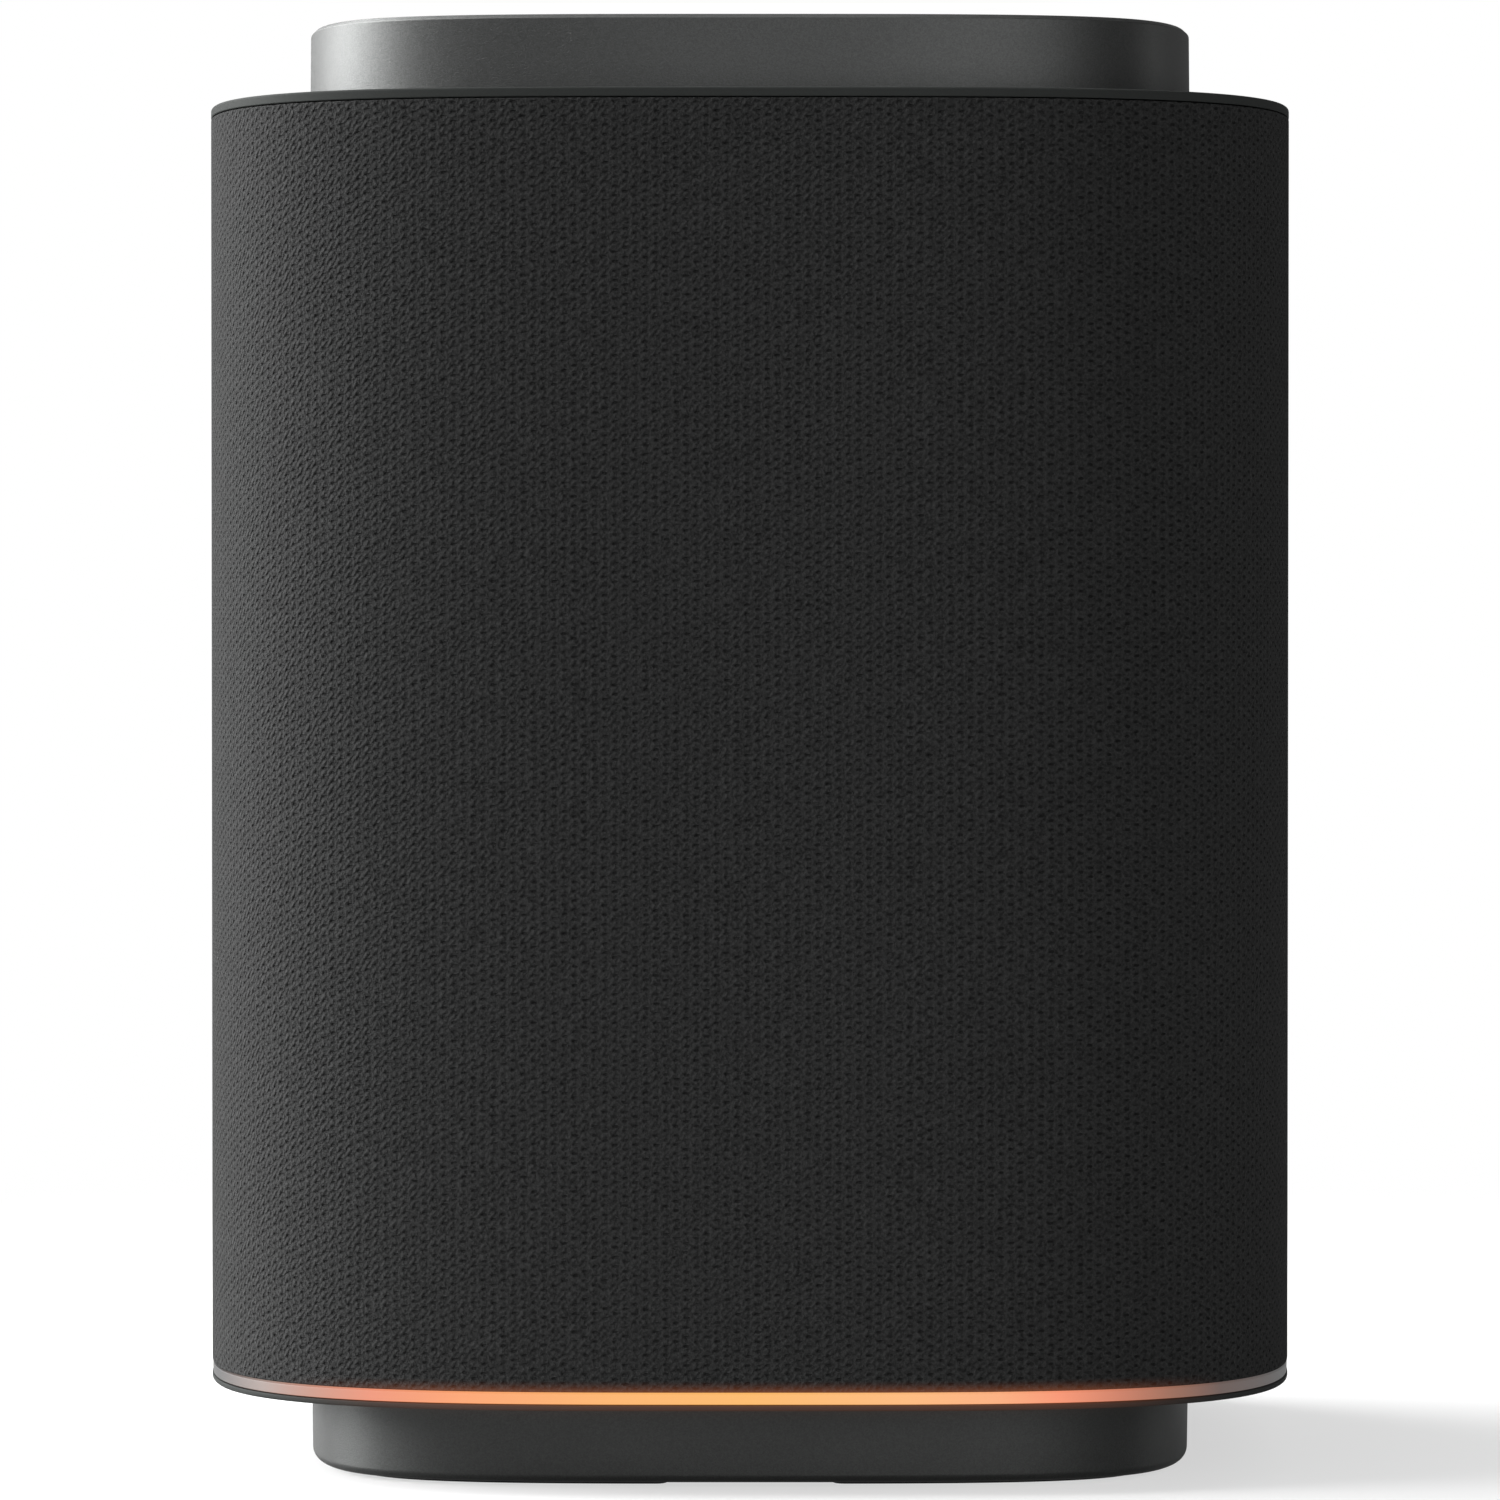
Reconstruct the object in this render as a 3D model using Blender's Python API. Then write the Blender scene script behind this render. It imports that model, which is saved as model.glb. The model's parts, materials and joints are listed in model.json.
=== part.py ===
"""Smart speaker with a fabric body on a squircle plan, built as separate solids.

Z is up and the front faces -Y. Every ring, plate and shell of the outside is drawn
from one driving outline, moved inward along its own normals by an inset. All sizes in
the constants are millimetres; the mesh builders turn them into metres.
"""
import math

import bmesh
import bpy
from mathutils import Matrix, Vector

MM = 0.001
FULL_TURN = 2.0 * math.pi

# ---------------------------------------------------------------- driving outline
BODY_HALF = 64.0
BODY_EXPONENT = 3.6
OUTLINE_POINTS = 48
GAP = 0.3

# ---------------------------------------------------------------- heights of the outside
FOOT_THICKNESS = 1.3
BASE_BOTTOM = 0.45
BASE_FLOOR_TOP = 2.6
BASE_TOP = 9.6
LOW_RIM_BOTTOM = 9.9
LOW_RIM_TOP = 10.51
LIGHT_BOTTOM = 10.73
LIGHT_TOP = 12.2
SLEEVE_BOTTOM = 12.42
SLEEVE_TOP = 158.18
TOP_RIM_BOTTOM = 158.44
TOP_RIM_TOP = 159.4
CAP_BOTTOM = TOP_RIM_TOP + GAP
CAP_TOP = 168.5

# ---------------------------------------------------------------- insets of the outside
CAP_INSET = 11.8
CAP_WALL_INNER_INSET = 14.0
CAP_OPENING_INSET = 18.0
BASE_INSET = 11.74
BASE_INNER_INSET = 14.0
SLEEVE_THICKNESS = 0.9
GRILLE_OUTER_INSET = 1.3
GRILLE_INNER_INSET = 3.3
LIGHT_OUTER_INSET = 0.25
LIGHT_INNER_INSET = 6.0
LED_BOARD_OUTER_INSET = 6.4
LED_BOARD_INNER_INSET = 9.5
CHASSIS_DECK_INSET = 9.9
CHASSIS_POCKET_INSET = 15.0

# ---------------------------------------------------------------- feet and base
FOOT_OUTER_INSET = 15.0
FOOT_INNER_INSET = 23.0
FOOT_CHAMFER = 0.3
FOOT_GAP_WIDTH = 18.8
FOOT_STATIONS = 10
SCREW_SPREAD = 27.0
SCREW_HEAD_RADIUS = 2.9
SCREW_SHANK_RADIUS = 1.25
SCREW_HEAD_BOTTOM = 0.62
SCREW_HEAD_TOP = 1.42
SCREW_TIP = 9.6
INLET_WIDTH = 8.94
INLET_HEIGHT = 3.16
INLET_WALL = 0.3
INLET_DEPTH = 7.5
INLET_Z = 5.6
INLET_MOUTH_Y = 51.6

# ---------------------------------------------------------------- lower chassis and lights
CHASSIS_DECK_TOP = 14.0
CHASSIS_POCKET_TOP = 11.6
LED_COUNT = 16
LED_BOARD_BOTTOM = 10.81
LED_BOARD_TOP = 11.4
LED_TOP = 12.0

# ---------------------------------------------------------------- grille slots
SLOT_WIDTH = 14.0
SLOT_CENTRES = (-28.5, -9.5, 9.5, 28.5)
SLOT_ROWS = ((21.0, 83.0), (91.0, 150.0))

# ---------------------------------------------------------------- top controls
BUTTON_RADIUS = 6.7
BUTTON_SEGMENTS = 20
BUTTON_SPREAD = 19.0
BUTTON_TOP = 168.35
PANEL_TOP = 168.2
PANEL_UNDERSIDE = 166.0
CONTROL_BOARD_BOTTOM = 160.1
CONTROL_BOARD_TOP = 161.1
MIC_SPREAD = 21.0
MIC_HOLE_RADIUS = 0.6
RIBBON_Y = 38.0

# ---------------------------------------------------------------- acoustic enclosure
BOX_HALF = 54.0
BOX_CORNER = 18.0
BOX_WALL = 2.5
BOX_BOTTOM = 14.3
BOX_TOP = 111.5
GASKET_TOP = 112.5
LID_BOTTOM = 112.7
LID_TOP = 115.2
DRIVER_Z = 62.0
WOOFER_HOLE = 33.5
RADIATOR_HOLE = 31.0
WOOFER_SEGMENTS = 28
RADIATOR_SEGMENTS = 24

# ---------------------------------------------------------------- tweeters and boards
TWEETER_X = 24.0
TWEETER_Y = -50.0
TWEETER_Z = 134.0
TWEETER_HOLE = 13.3
TWEETER_SEGMENTS = 20
BOARD_BOTTOM = 121.0
BOARD_TOP = 122.6
BOARD_CENTRE_Y = 8.0
PART_ON_BOARD = BOARD_TOP + GAP

FACING_FRONT = (math.pi / 2, 0.0, 0.0)
FACING_REAR = (-math.pi / 2, 0.0, 0.0)
FACING_RIGHT = (0.0, math.pi / 2, 0.0)
FACING_LEFT = (0.0, -math.pi / 2, 0.0)


# ================================================================ scene and materials
def clear_scene():
    """Remove the startup objects."""
    for thing in list(bpy.data.objects):
        bpy.data.objects.remove(thing, do_unlink=True)


def paint(name, colour, roughness, metallic=0.0):
    """A plain material for one sub-part."""
    material = bpy.data.materials.new(name)
    material.use_nodes = True
    shader = material.node_tree.nodes["Principled BSDF"]
    shader.inputs["Base Color"].default_value = (*colour, 1.0)
    shader.inputs["Roughness"].default_value = roughness
    shader.inputs["Metallic"].default_value = metallic
    material.diffuse_color = (*colour, 1.0)
    return material


# ================================================================ plan outlines
def signed_power(value, power):
    """Raise the size of a number to a power and keep its sign."""
    return math.copysign(abs(value) ** power, value)


def squircle_point(turn, inset):
    """A point of the body outline, moved inward along its normal."""
    x = BODY_HALF * signed_power(math.cos(turn), 2.0 / BODY_EXPONENT)
    y = BODY_HALF * signed_power(math.sin(turn), 2.0 / BODY_EXPONENT)
    normal = squircle_normal(turn)
    return (x - inset * normal[0], y - inset * normal[1])


def squircle_normal(turn):
    """Outward unit normal of the body outline."""
    power = 2.0 * (BODY_EXPONENT - 1.0) / BODY_EXPONENT
    nx = signed_power(math.cos(turn), power)
    ny = signed_power(math.sin(turn), power)
    length = math.hypot(nx, ny)
    return (nx / length, ny / length)


def squircle(inset):
    """The whole body outline, moved inward."""
    turns = [FULL_TURN * i / OUTLINE_POINTS for i in range(OUTLINE_POINTS)]
    return [squircle_point(turn, inset) for turn in turns]


def rounded_box(half_x, half_y, corner, steps):
    """An outline maker for a rounded rectangle; its inset shrinks sides and corners."""

    def outline(inset):
        radius = max(corner - inset, 0.05)
        centre_x = half_x - inset - radius
        centre_y = half_y - inset - radius
        points = []
        for quarter in range(4):
            sign_x = (1, -1, -1, 1)[quarter]
            sign_y = (1, 1, -1, -1)[quarter]
            for step in range(steps + 1):
                turn = math.pi / 2 * (quarter + step / steps)
                x = sign_x * centre_x + radius * math.cos(turn)
                y = sign_y * centre_y + radius * math.sin(turn)
                points.append((x, y))
        return points

    return outline


ENCLOSURE_PLAN = rounded_box(BOX_HALF, BOX_HALF, BOX_CORNER, 4)


# ================================================================ mesh builders
def finish_mesh(name, bm):
    """Turn the faces outward and store the mesh."""
    bmesh.ops.recalc_face_normals(bm, faces=bm.faces)
    mesh = bpy.data.meshes.new(name)
    bm.to_mesh(mesh)
    bm.free()
    return mesh


def vert_mm(bm, x, y, z):
    """A vertex given in millimetres."""
    return bm.verts.new((x * MM, y * MM, z * MM))


def bridge(bm, lower, upper, wraps):
    """Quads between two equal rows of vertices."""
    count = len(lower)
    for i in range(count if wraps else count - 1):
        j = (i + 1) % count
        bm.faces.new((lower[i], lower[j], upper[j], upper[i]))


def loft(name, plan, profile, ring=False):
    """Stack plan outlines along a profile of (inset, height).

    A ring joins the last outline back to the first. Otherwise the first and the last
    outlines are closed with flat faces.
    """
    bm = bmesh.new()
    rows = [[vert_mm(bm, x, y, z) for x, y in plan(inset)] for inset, z in profile]
    for lower, upper in zip(rows, rows[1:]):
        bridge(bm, lower, upper, True)
    if ring:
        bridge(bm, rows[-1], rows[0], True)
    else:
        bm.faces.new(rows[0])
        bm.faces.new(rows[-1])
    return finish_mesh(name, bm)


def lathe(name, profile, segments, ring=False):
    """Turn a profile of (radius, height) about the local Z axis."""
    bm = bmesh.new()
    rows = []
    for radius, z in profile:
        if radius == 0.0:
            rows.append([vert_mm(bm, 0.0, 0.0, z)])
            continue
        turns = [FULL_TURN * i / segments for i in range(segments)]
        rows.append(
            [vert_mm(bm, radius * math.cos(t), radius * math.sin(t), z) for t in turns]
        )
    pairs = list(zip(rows, rows[1:]))
    if ring:
        pairs.append((rows[-1], rows[0]))
    for lower, upper in pairs:
        if len(lower) == len(upper):
            bridge(bm, lower, upper, True)
            continue
        tip = lower[0] if len(lower) == 1 else upper[0]
        rim = upper if len(lower) == 1 else lower
        for i in range(segments):
            bm.faces.new((rim[i], rim[(i + 1) % segments], tip))
    return finish_mesh(name, bm)


def prism(name, section, axis, start, end):
    """Push a flat section along X or Y; the section gives the other two coordinates."""
    bm = bmesh.new()
    rows = []
    for along in (start, end):
        if axis == "X":
            rows.append([vert_mm(bm, along, a, b) for a, b in section])
        else:
            rows.append([vert_mm(bm, a, along, b) for a, b in section])
    bridge(bm, rows[0], rows[1], True)
    bm.faces.new(rows[0])
    bm.faces.new(rows[1])
    return finish_mesh(name, bm)


def outline_arc(name, section, turn_start, turn_end, stations):
    """Sweep a section of (inset, height) along part of the body outline."""
    bm = bmesh.new()
    rows = []
    for i in range(stations + 1):
        turn = turn_start + (turn_end - turn_start) * i / stations
        row = []
        for inset, z in section:
            x, y = squircle_point(turn, inset)
            row.append(vert_mm(bm, x, y, z))
        rows.append(row)
    for lower, upper in zip(rows, rows[1:]):
        bridge(bm, lower, upper, True)
    bm.faces.new(rows[0])
    bm.faces.new(rows[-1])
    return finish_mesh(name, bm)


def boxes(name, placements):
    """Separate boxes in one mesh; each is (centre, size, turn about Z)."""
    bm = bmesh.new()
    for centre, size, turn in placements:
        place = Matrix.Translation(Vector(centre) * MM) @ Matrix.Rotation(turn, 4, "Z")
        scale = Matrix.Diagonal((size[0] * MM, size[1] * MM, size[2] * MM, 1.0))
        bmesh.ops.create_cube(bm, size=1.0, matrix=place @ scale)
    return finish_mesh(name, bm)


def posts(name, centres, radius, bottom, top, segments):
    """Separate upright cylinders in one mesh."""
    bm = bmesh.new()
    height = (top - bottom) * MM
    middle = (top + bottom) / 2
    for x, y in centres:
        bmesh.ops.create_cone(
            bm,
            cap_ends=True,
            segments=segments,
            radius1=radius * MM,
            radius2=radius * MM,
            depth=height,
            matrix=Matrix.Translation(Vector((x, y, middle)) * MM),
        )
    return finish_mesh(name, bm)


def span(low, high):
    """Centre and size of a box from two corners."""
    centre = [(a + b) / 2 for a, b in zip(low, high)]
    size = [b - a for a, b in zip(low, high)]
    return (centre, size, 0.0)


# ================================================================ objects
def add_part(name, mesh, material, at=(0.0, 0.0, 0.0), rotation=(0.0, 0.0, 0.0), sharp=35.0):
    """Place a mesh as a named part, smooth except at its sharp edges."""
    mesh.materials.append(material)
    mesh.shade_smooth()
    mesh.set_sharp_from_angle(angle=math.radians(sharp))
    thing = bpy.data.objects.new(name, mesh)
    thing.location = Vector(at) * MM
    thing.rotation_euler = rotation
    bpy.context.scene.collection.objects.link(thing)
    return thing


def shape_with(target, mesh, operation, at=(0.0, 0.0, 0.0), rotation=(0.0, 0.0, 0.0)):
    """Cut a tool out of a part, or join it on."""
    tool = bpy.data.objects.new(mesh.name, mesh)
    tool.location = Vector(at) * MM
    tool.rotation_euler = rotation
    tool.hide_render = True
    tool.display_type = "WIRE"
    bpy.context.scene.collection.objects.link(tool)
    modifier = target.modifiers.new(mesh.name, "BOOLEAN")
    modifier.operation = operation
    modifier.object = tool
    modifier.solver = "EXACT"


def four_corners(spread):
    """The four points at plus and minus the spread."""
    return [(sx * spread, sy * spread) for sx in (-1, 1) for sy in (-1, 1)]


# ================================================================ feet and base
FOOT_NAMES = ("foot_rear_right", "foot_rear_left", "foot_front_left", "foot_front_right")


def foot_turns(quarter, gap_width):
    """Start and end of a foot pad along the outline, leaving half a gap at each end."""
    edge = math.asin((gap_width / 2 / BODY_HALF) ** (BODY_EXPONENT / 2))
    start = math.pi / 2 * quarter
    return (start + edge, start + math.pi / 2 - edge)


def build_feet(rubber):
    """Four rubber pads that follow the base outline, with a gap at the middle of each side."""
    section = (
        (FOOT_OUTER_INSET + FOOT_CHAMFER, 0.0),
        (FOOT_INNER_INSET - FOOT_CHAMFER, 0.0),
        (FOOT_INNER_INSET, FOOT_CHAMFER),
        (FOOT_INNER_INSET, FOOT_THICKNESS),
        (FOOT_OUTER_INSET, FOOT_THICKNESS),
        (FOOT_OUTER_INSET, FOOT_CHAMFER),
    )
    for quarter, name in enumerate(FOOT_NAMES):
        start, end = foot_turns(quarter, FOOT_GAP_WIDTH)
        add_part(name, outline_arc(name, section, start, end, FOOT_STATIONS), rubber)


def build_base(metal):
    """Painted dish that stands on the feet, with the power inlet's mouth at the rear."""
    profile = (
        (13.9, BASE_BOTTOM),
        (13.0, 0.6),
        (12.4, 1.0),
        (12.05, 1.7),
        (11.88, 3.0),
        (BASE_INSET, BASE_TOP),
        (BASE_INNER_INSET, BASE_TOP),
        (BASE_INNER_INSET, 3.3),
        (BASE_INNER_INSET + 0.7, BASE_FLOOR_TOP),
    )
    base = add_part("base_shell", loft("base_shell", squircle, profile), metal)
    groove = (
        (FOOT_OUTER_INSET - GAP, -1.0),
        (FOOT_INNER_INSET + GAP, -1.0),
        (FOOT_INNER_INSET + GAP, FOOT_THICKNESS + GAP),
        (FOOT_OUTER_INSET - GAP, FOOT_THICKNESS + GAP),
    )
    for quarter in range(4):
        start, end = foot_turns(quarter, FOOT_GAP_WIDTH - 2 * GAP)
        name = f"foot_groove_{quarter}"
        shape_with(base, outline_arc(name, groove, start, end, FOOT_STATIONS), "DIFFERENCE")
    centres = four_corners(SCREW_SPREAD)
    clearance = SCREW_SHANK_RADIUS + 0.35
    counterbore = SCREW_HEAD_RADIUS + 0.4
    shape_with(base, posts("base_screw_holes", centres, clearance, -1.0, 4.0, 12), "DIFFERENCE")
    shape_with(base, posts("base_counterbores", centres, counterbore, -1.0, 1.5, 16), "DIFFERENCE")
    mouth = rounded_box(
        INLET_WIDTH / 2 + GAP, INLET_HEIGHT / 2 + GAP, INLET_HEIGHT / 2 + GAP, 4
    )
    cutter = loft("inlet_mouth", mouth, ((0.0, -8.0), (0.0, 8.0)))
    shape_with(base, cutter, "DIFFERENCE", (0.0, INLET_MOUTH_Y, INLET_Z), FACING_REAR)


def build_inlet(steel, board_green):
    """Receptacle for the power lead, with its contact tongue, on a small board."""
    plan = rounded_box(INLET_WIDTH / 2, INLET_HEIGHT / 2, INLET_HEIGHT / 2, 4)
    profile = (
        (0.0, -INLET_DEPTH),
        (0.0, 0.0),
        (INLET_WALL, 0.0),
        (INLET_WALL, 0.8 - INLET_DEPTH),
    )
    inlet = add_part(
        "power_inlet",
        loft("power_inlet", plan, profile),
        steel,
        (0.0, INLET_MOUTH_Y, INLET_Z),
        FACING_REAR,
    )
    tongue = boxes(
        "inlet_tongue",
        [span((-3.35, INLET_MOUTH_Y - 7.2, INLET_Z - 0.35), (3.35, INLET_MOUTH_Y - 0.9, INLET_Z + 0.35))],
    )
    shape_with(inlet, tongue, "UNION")
    board = boxes("inlet_board", [span((-10.0, 36.0, 2.8), (10.0, 49.2, 3.7))])
    add_part("inlet_board", board, board_green)


def build_screws(steel):
    """Four screws that hold the base to the lower chassis."""
    profile = (
        (0.0, SCREW_HEAD_BOTTOM + 0.45),
        (1.1, SCREW_HEAD_BOTTOM + 0.45),
        (1.1, SCREW_HEAD_BOTTOM),
        (SCREW_HEAD_RADIUS - 0.3, SCREW_HEAD_BOTTOM),
        (SCREW_HEAD_RADIUS, SCREW_HEAD_BOTTOM + 0.25),
        (SCREW_HEAD_RADIUS, SCREW_HEAD_TOP),
        (SCREW_SHANK_RADIUS, SCREW_HEAD_TOP),
        (SCREW_SHANK_RADIUS, SCREW_TIP - 0.5),
        (0.0, SCREW_TIP),
    )
    for number, (x, y) in enumerate(four_corners(SCREW_SPREAD), 1):
        name = f"base_screw_{number}"
        add_part(name, lathe(name, profile, 10), steel, (x, y, 0.0))


# ================================================================ lower chassis and lights
def build_lower_chassis(plastic):
    """Plate whose edge is the dark rim under the light ring, with posts for the screws."""
    profile = (
        (CHASSIS_POCKET_INSET, CHASSIS_POCKET_TOP),
        (CHASSIS_POCKET_INSET, LOW_RIM_BOTTOM),
        (0.3, LOW_RIM_BOTTOM),
        (0.0, LOW_RIM_BOTTOM + 0.22),
        (0.0, LOW_RIM_TOP - 0.12),
        (0.12, LOW_RIM_TOP),
        (CHASSIS_DECK_INSET, LOW_RIM_TOP),
        (CHASSIS_DECK_INSET, CHASSIS_DECK_TOP),
    )
    chassis = add_part("lower_chassis", loft("lower_chassis", squircle, profile), plastic)
    centres = four_corners(SCREW_SPREAD)
    post_bottom = BASE_FLOOR_TOP + GAP
    shape_with(
        chassis,
        posts("chassis_posts", centres, 3.6, post_bottom, CHASSIS_POCKET_TOP + 0.9, 16),
        "UNION",
    )
    pilot = SCREW_SHANK_RADIUS + 0.25
    shape_with(chassis, posts("pilot_holes", centres, pilot, 0.0, 10.6, 12), "DIFFERENCE")


def build_lights(diffuser, board_green):
    """Translucent ring that shows below the fabric, lit from a board of small lamps."""
    profile = (
        (LIGHT_INNER_INSET, LIGHT_BOTTOM),
        (LIGHT_OUTER_INSET + 0.2, LIGHT_BOTTOM),
        (LIGHT_OUTER_INSET, LIGHT_BOTTOM + 0.25),
        (LIGHT_OUTER_INSET, LIGHT_TOP - 0.25),
        (LIGHT_OUTER_INSET + 0.2, LIGHT_TOP),
        (LIGHT_INNER_INSET, LIGHT_TOP),
    )
    add_part("light_ring", loft("light_ring", squircle, profile, True), diffuser)
    profile = (
        (LED_BOARD_INNER_INSET, LED_BOARD_BOTTOM),
        (LED_BOARD_OUTER_INSET, LED_BOARD_BOTTOM),
        (LED_BOARD_OUTER_INSET, LED_BOARD_TOP),
        (LED_BOARD_INNER_INSET, LED_BOARD_TOP),
    )
    board = add_part("led_board", loft("led_board", squircle, profile, True), board_green)
    lamps = []
    for i in range(LED_COUNT):
        turn = FULL_TURN * (i + 0.5) / LED_COUNT
        x, y = squircle_point(turn, LED_BOARD_OUTER_INSET + 1.1)
        normal = squircle_normal(turn)
        centre = (x, y, (LED_BOARD_TOP - 0.2 + LED_TOP) / 2)
        size = (1.4, 2.4, LED_TOP - LED_BOARD_TOP + 0.2)
        lamps.append((centre, size, math.atan2(normal[1], normal[0])))
    shape_with(board, boxes("led_lamps", lamps), "UNION")


# ================================================================ fabric body
def build_body(fabric, plastic):
    """Knitted sleeve over a slotted frame."""
    edge = 0.2
    profile = (
        (SLEEVE_THICKNESS, SLEEVE_BOTTOM),
        (edge, SLEEVE_BOTTOM),
        (0.0, SLEEVE_BOTTOM + edge),
        (0.0, SLEEVE_TOP - edge),
        (edge, SLEEVE_TOP),
        (SLEEVE_THICKNESS, SLEEVE_TOP),
    )
    add_part("fabric_sleeve", loft("fabric_sleeve", squircle, profile, True), fabric)
    profile = (
        (GRILLE_INNER_INSET, SLEEVE_BOTTOM + 0.1),
        (GRILLE_OUTER_INSET, SLEEVE_BOTTOM + 0.1),
        (GRILLE_OUTER_INSET, SLEEVE_TOP - 0.1),
        (GRILLE_INNER_INSET, SLEEVE_TOP - 0.1),
    )
    frame = add_part("grille_frame", loft("grille_frame", squircle, profile, True), plastic)
    reach = 2.2 * BODY_HALF
    slots_y = []
    slots_x = []
    for bottom, top in SLOT_ROWS:
        middle = (bottom + top) / 2
        tall = top - bottom
        for offset in SLOT_CENTRES:
            slots_y.append(((offset, 0.0, middle), (SLOT_WIDTH, reach, tall), 0.0))
            slots_x.append(((0.0, offset, middle), (reach, SLOT_WIDTH, tall), 0.0))
    shape_with(frame, boxes("grille_slots_front", slots_y), "DIFFERENCE")
    shape_with(frame, boxes("grille_slots_side", slots_x), "DIFFERENCE")


# ================================================================ top rim, cap and controls
def build_top(plastic, metal):
    """Dark rim plate over the fabric and the raised painted cap."""
    profile = (
        (4.2, 155.6),
        (4.2, TOP_RIM_BOTTOM),
        (0.3, TOP_RIM_BOTTOM),
        (0.0, TOP_RIM_BOTTOM + 0.25),
        (0.0, TOP_RIM_TOP - 0.22),
        (0.28, TOP_RIM_TOP),
    )
    rim = add_part("top_rim", loft("top_rim", squircle, profile), plastic)
    slot = span((-7.5, RIBBON_Y - 1.4, 150.0), (7.5, RIBBON_Y + 1.4, 165.0))
    shape_with(rim, boxes("ribbon_slot", [slot]), "DIFFERENCE")
    profile = (
        (CAP_INSET - 0.08, CAP_BOTTOM),
        (CAP_INSET, CAP_TOP - 0.95),
        (CAP_INSET + 0.12, CAP_TOP - 0.45),
        (CAP_INSET + 0.45, CAP_TOP - 0.12),
        (CAP_INSET + 0.95, CAP_TOP),
        (CAP_OPENING_INSET, CAP_TOP),
        (CAP_OPENING_INSET, CAP_TOP - 2.3),
        (CAP_WALL_INNER_INSET + 0.2, CAP_TOP - 2.3),
        (CAP_WALL_INNER_INSET, CAP_BOTTOM),
    )
    add_part("top_cap", loft("top_cap", squircle, profile, True), metal)


BUTTONS = (
    ("action_button", (0.0, -BUTTON_SPREAD)),
    ("volume_up_button", (BUTTON_SPREAD, 0.0)),
    ("mute_button", (0.0, BUTTON_SPREAD)),
    ("volume_down_button", (-BUTTON_SPREAD, 0.0)),
)


def build_controls(plastic, button_plastic, board_green, switch_black):
    """Control panel with four buttons, their switches, and four microphones."""
    profile = (
        (20.0, PANEL_UNDERSIDE),
        (20.0, 164.6),
        (14.6, 164.6),
        (14.6, 165.9),
        (CAP_OPENING_INSET + GAP, 165.9),
        (CAP_OPENING_INSET + GAP, PANEL_TOP - 0.2),
        (CAP_OPENING_INSET + GAP + 0.3, PANEL_TOP),
    )
    panel = add_part("control_panel", loft("control_panel", squircle, profile), plastic)
    holes = [centre for _, centre in BUTTONS]
    shape_with(
        panel,
        posts("button_holes", holes, BUTTON_RADIUS + GAP, 160.0, 170.0, BUTTON_SEGMENTS),
        "DIFFERENCE",
    )
    mics = four_corners(MIC_SPREAD)
    shape_with(
        panel, posts("microphone_holes", mics, MIC_HOLE_RADIUS, 160.0, 170.0, 8), "DIFFERENCE"
    )
    profile = (
        (0.0, -0.25),
        (6.3, 0.0),
        (BUTTON_RADIUS, -0.35),
        (BUTTON_RADIUS, -2.65),
        (8.2, -2.65),
        (8.2, -3.85),
        (2.0, -5.15),
        (0.0, -5.15),
    )
    for name, (x, y) in BUTTONS:
        add_part(name, lathe(name, profile, BUTTON_SEGMENTS), button_plastic, (x, y, BUTTON_TOP))
    profile = ((0.0, CONTROL_BOARD_BOTTOM), (0.0, CONTROL_BOARD_TOP))
    board_plan = rounded_box(48.0, 48.0, 22.0, 3)
    add_part("control_board", loft("control_board", board_plan, profile), board_green)
    switch_plan = rounded_box(3.0, 3.0, 0.5, 2)
    profile = ((0.0, 161.3), (0.0, 162.0), (1.3, 162.0), (1.3, 162.3))
    for name, (x, y) in BUTTONS:
        switch = name.replace("_button", "_switch")
        add_part(switch, loft(switch, switch_plan, profile), switch_black, (x, y, 0.0))
    for number, (x, y) in enumerate(mics, 1):
        name = f"microphone_{number}"
        box = span((-1.9, -1.4, 161.3), (1.9, 1.4, 162.3))
        add_part(name, boxes(name, [box]), switch_black, (x, y, 0.0))


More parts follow.
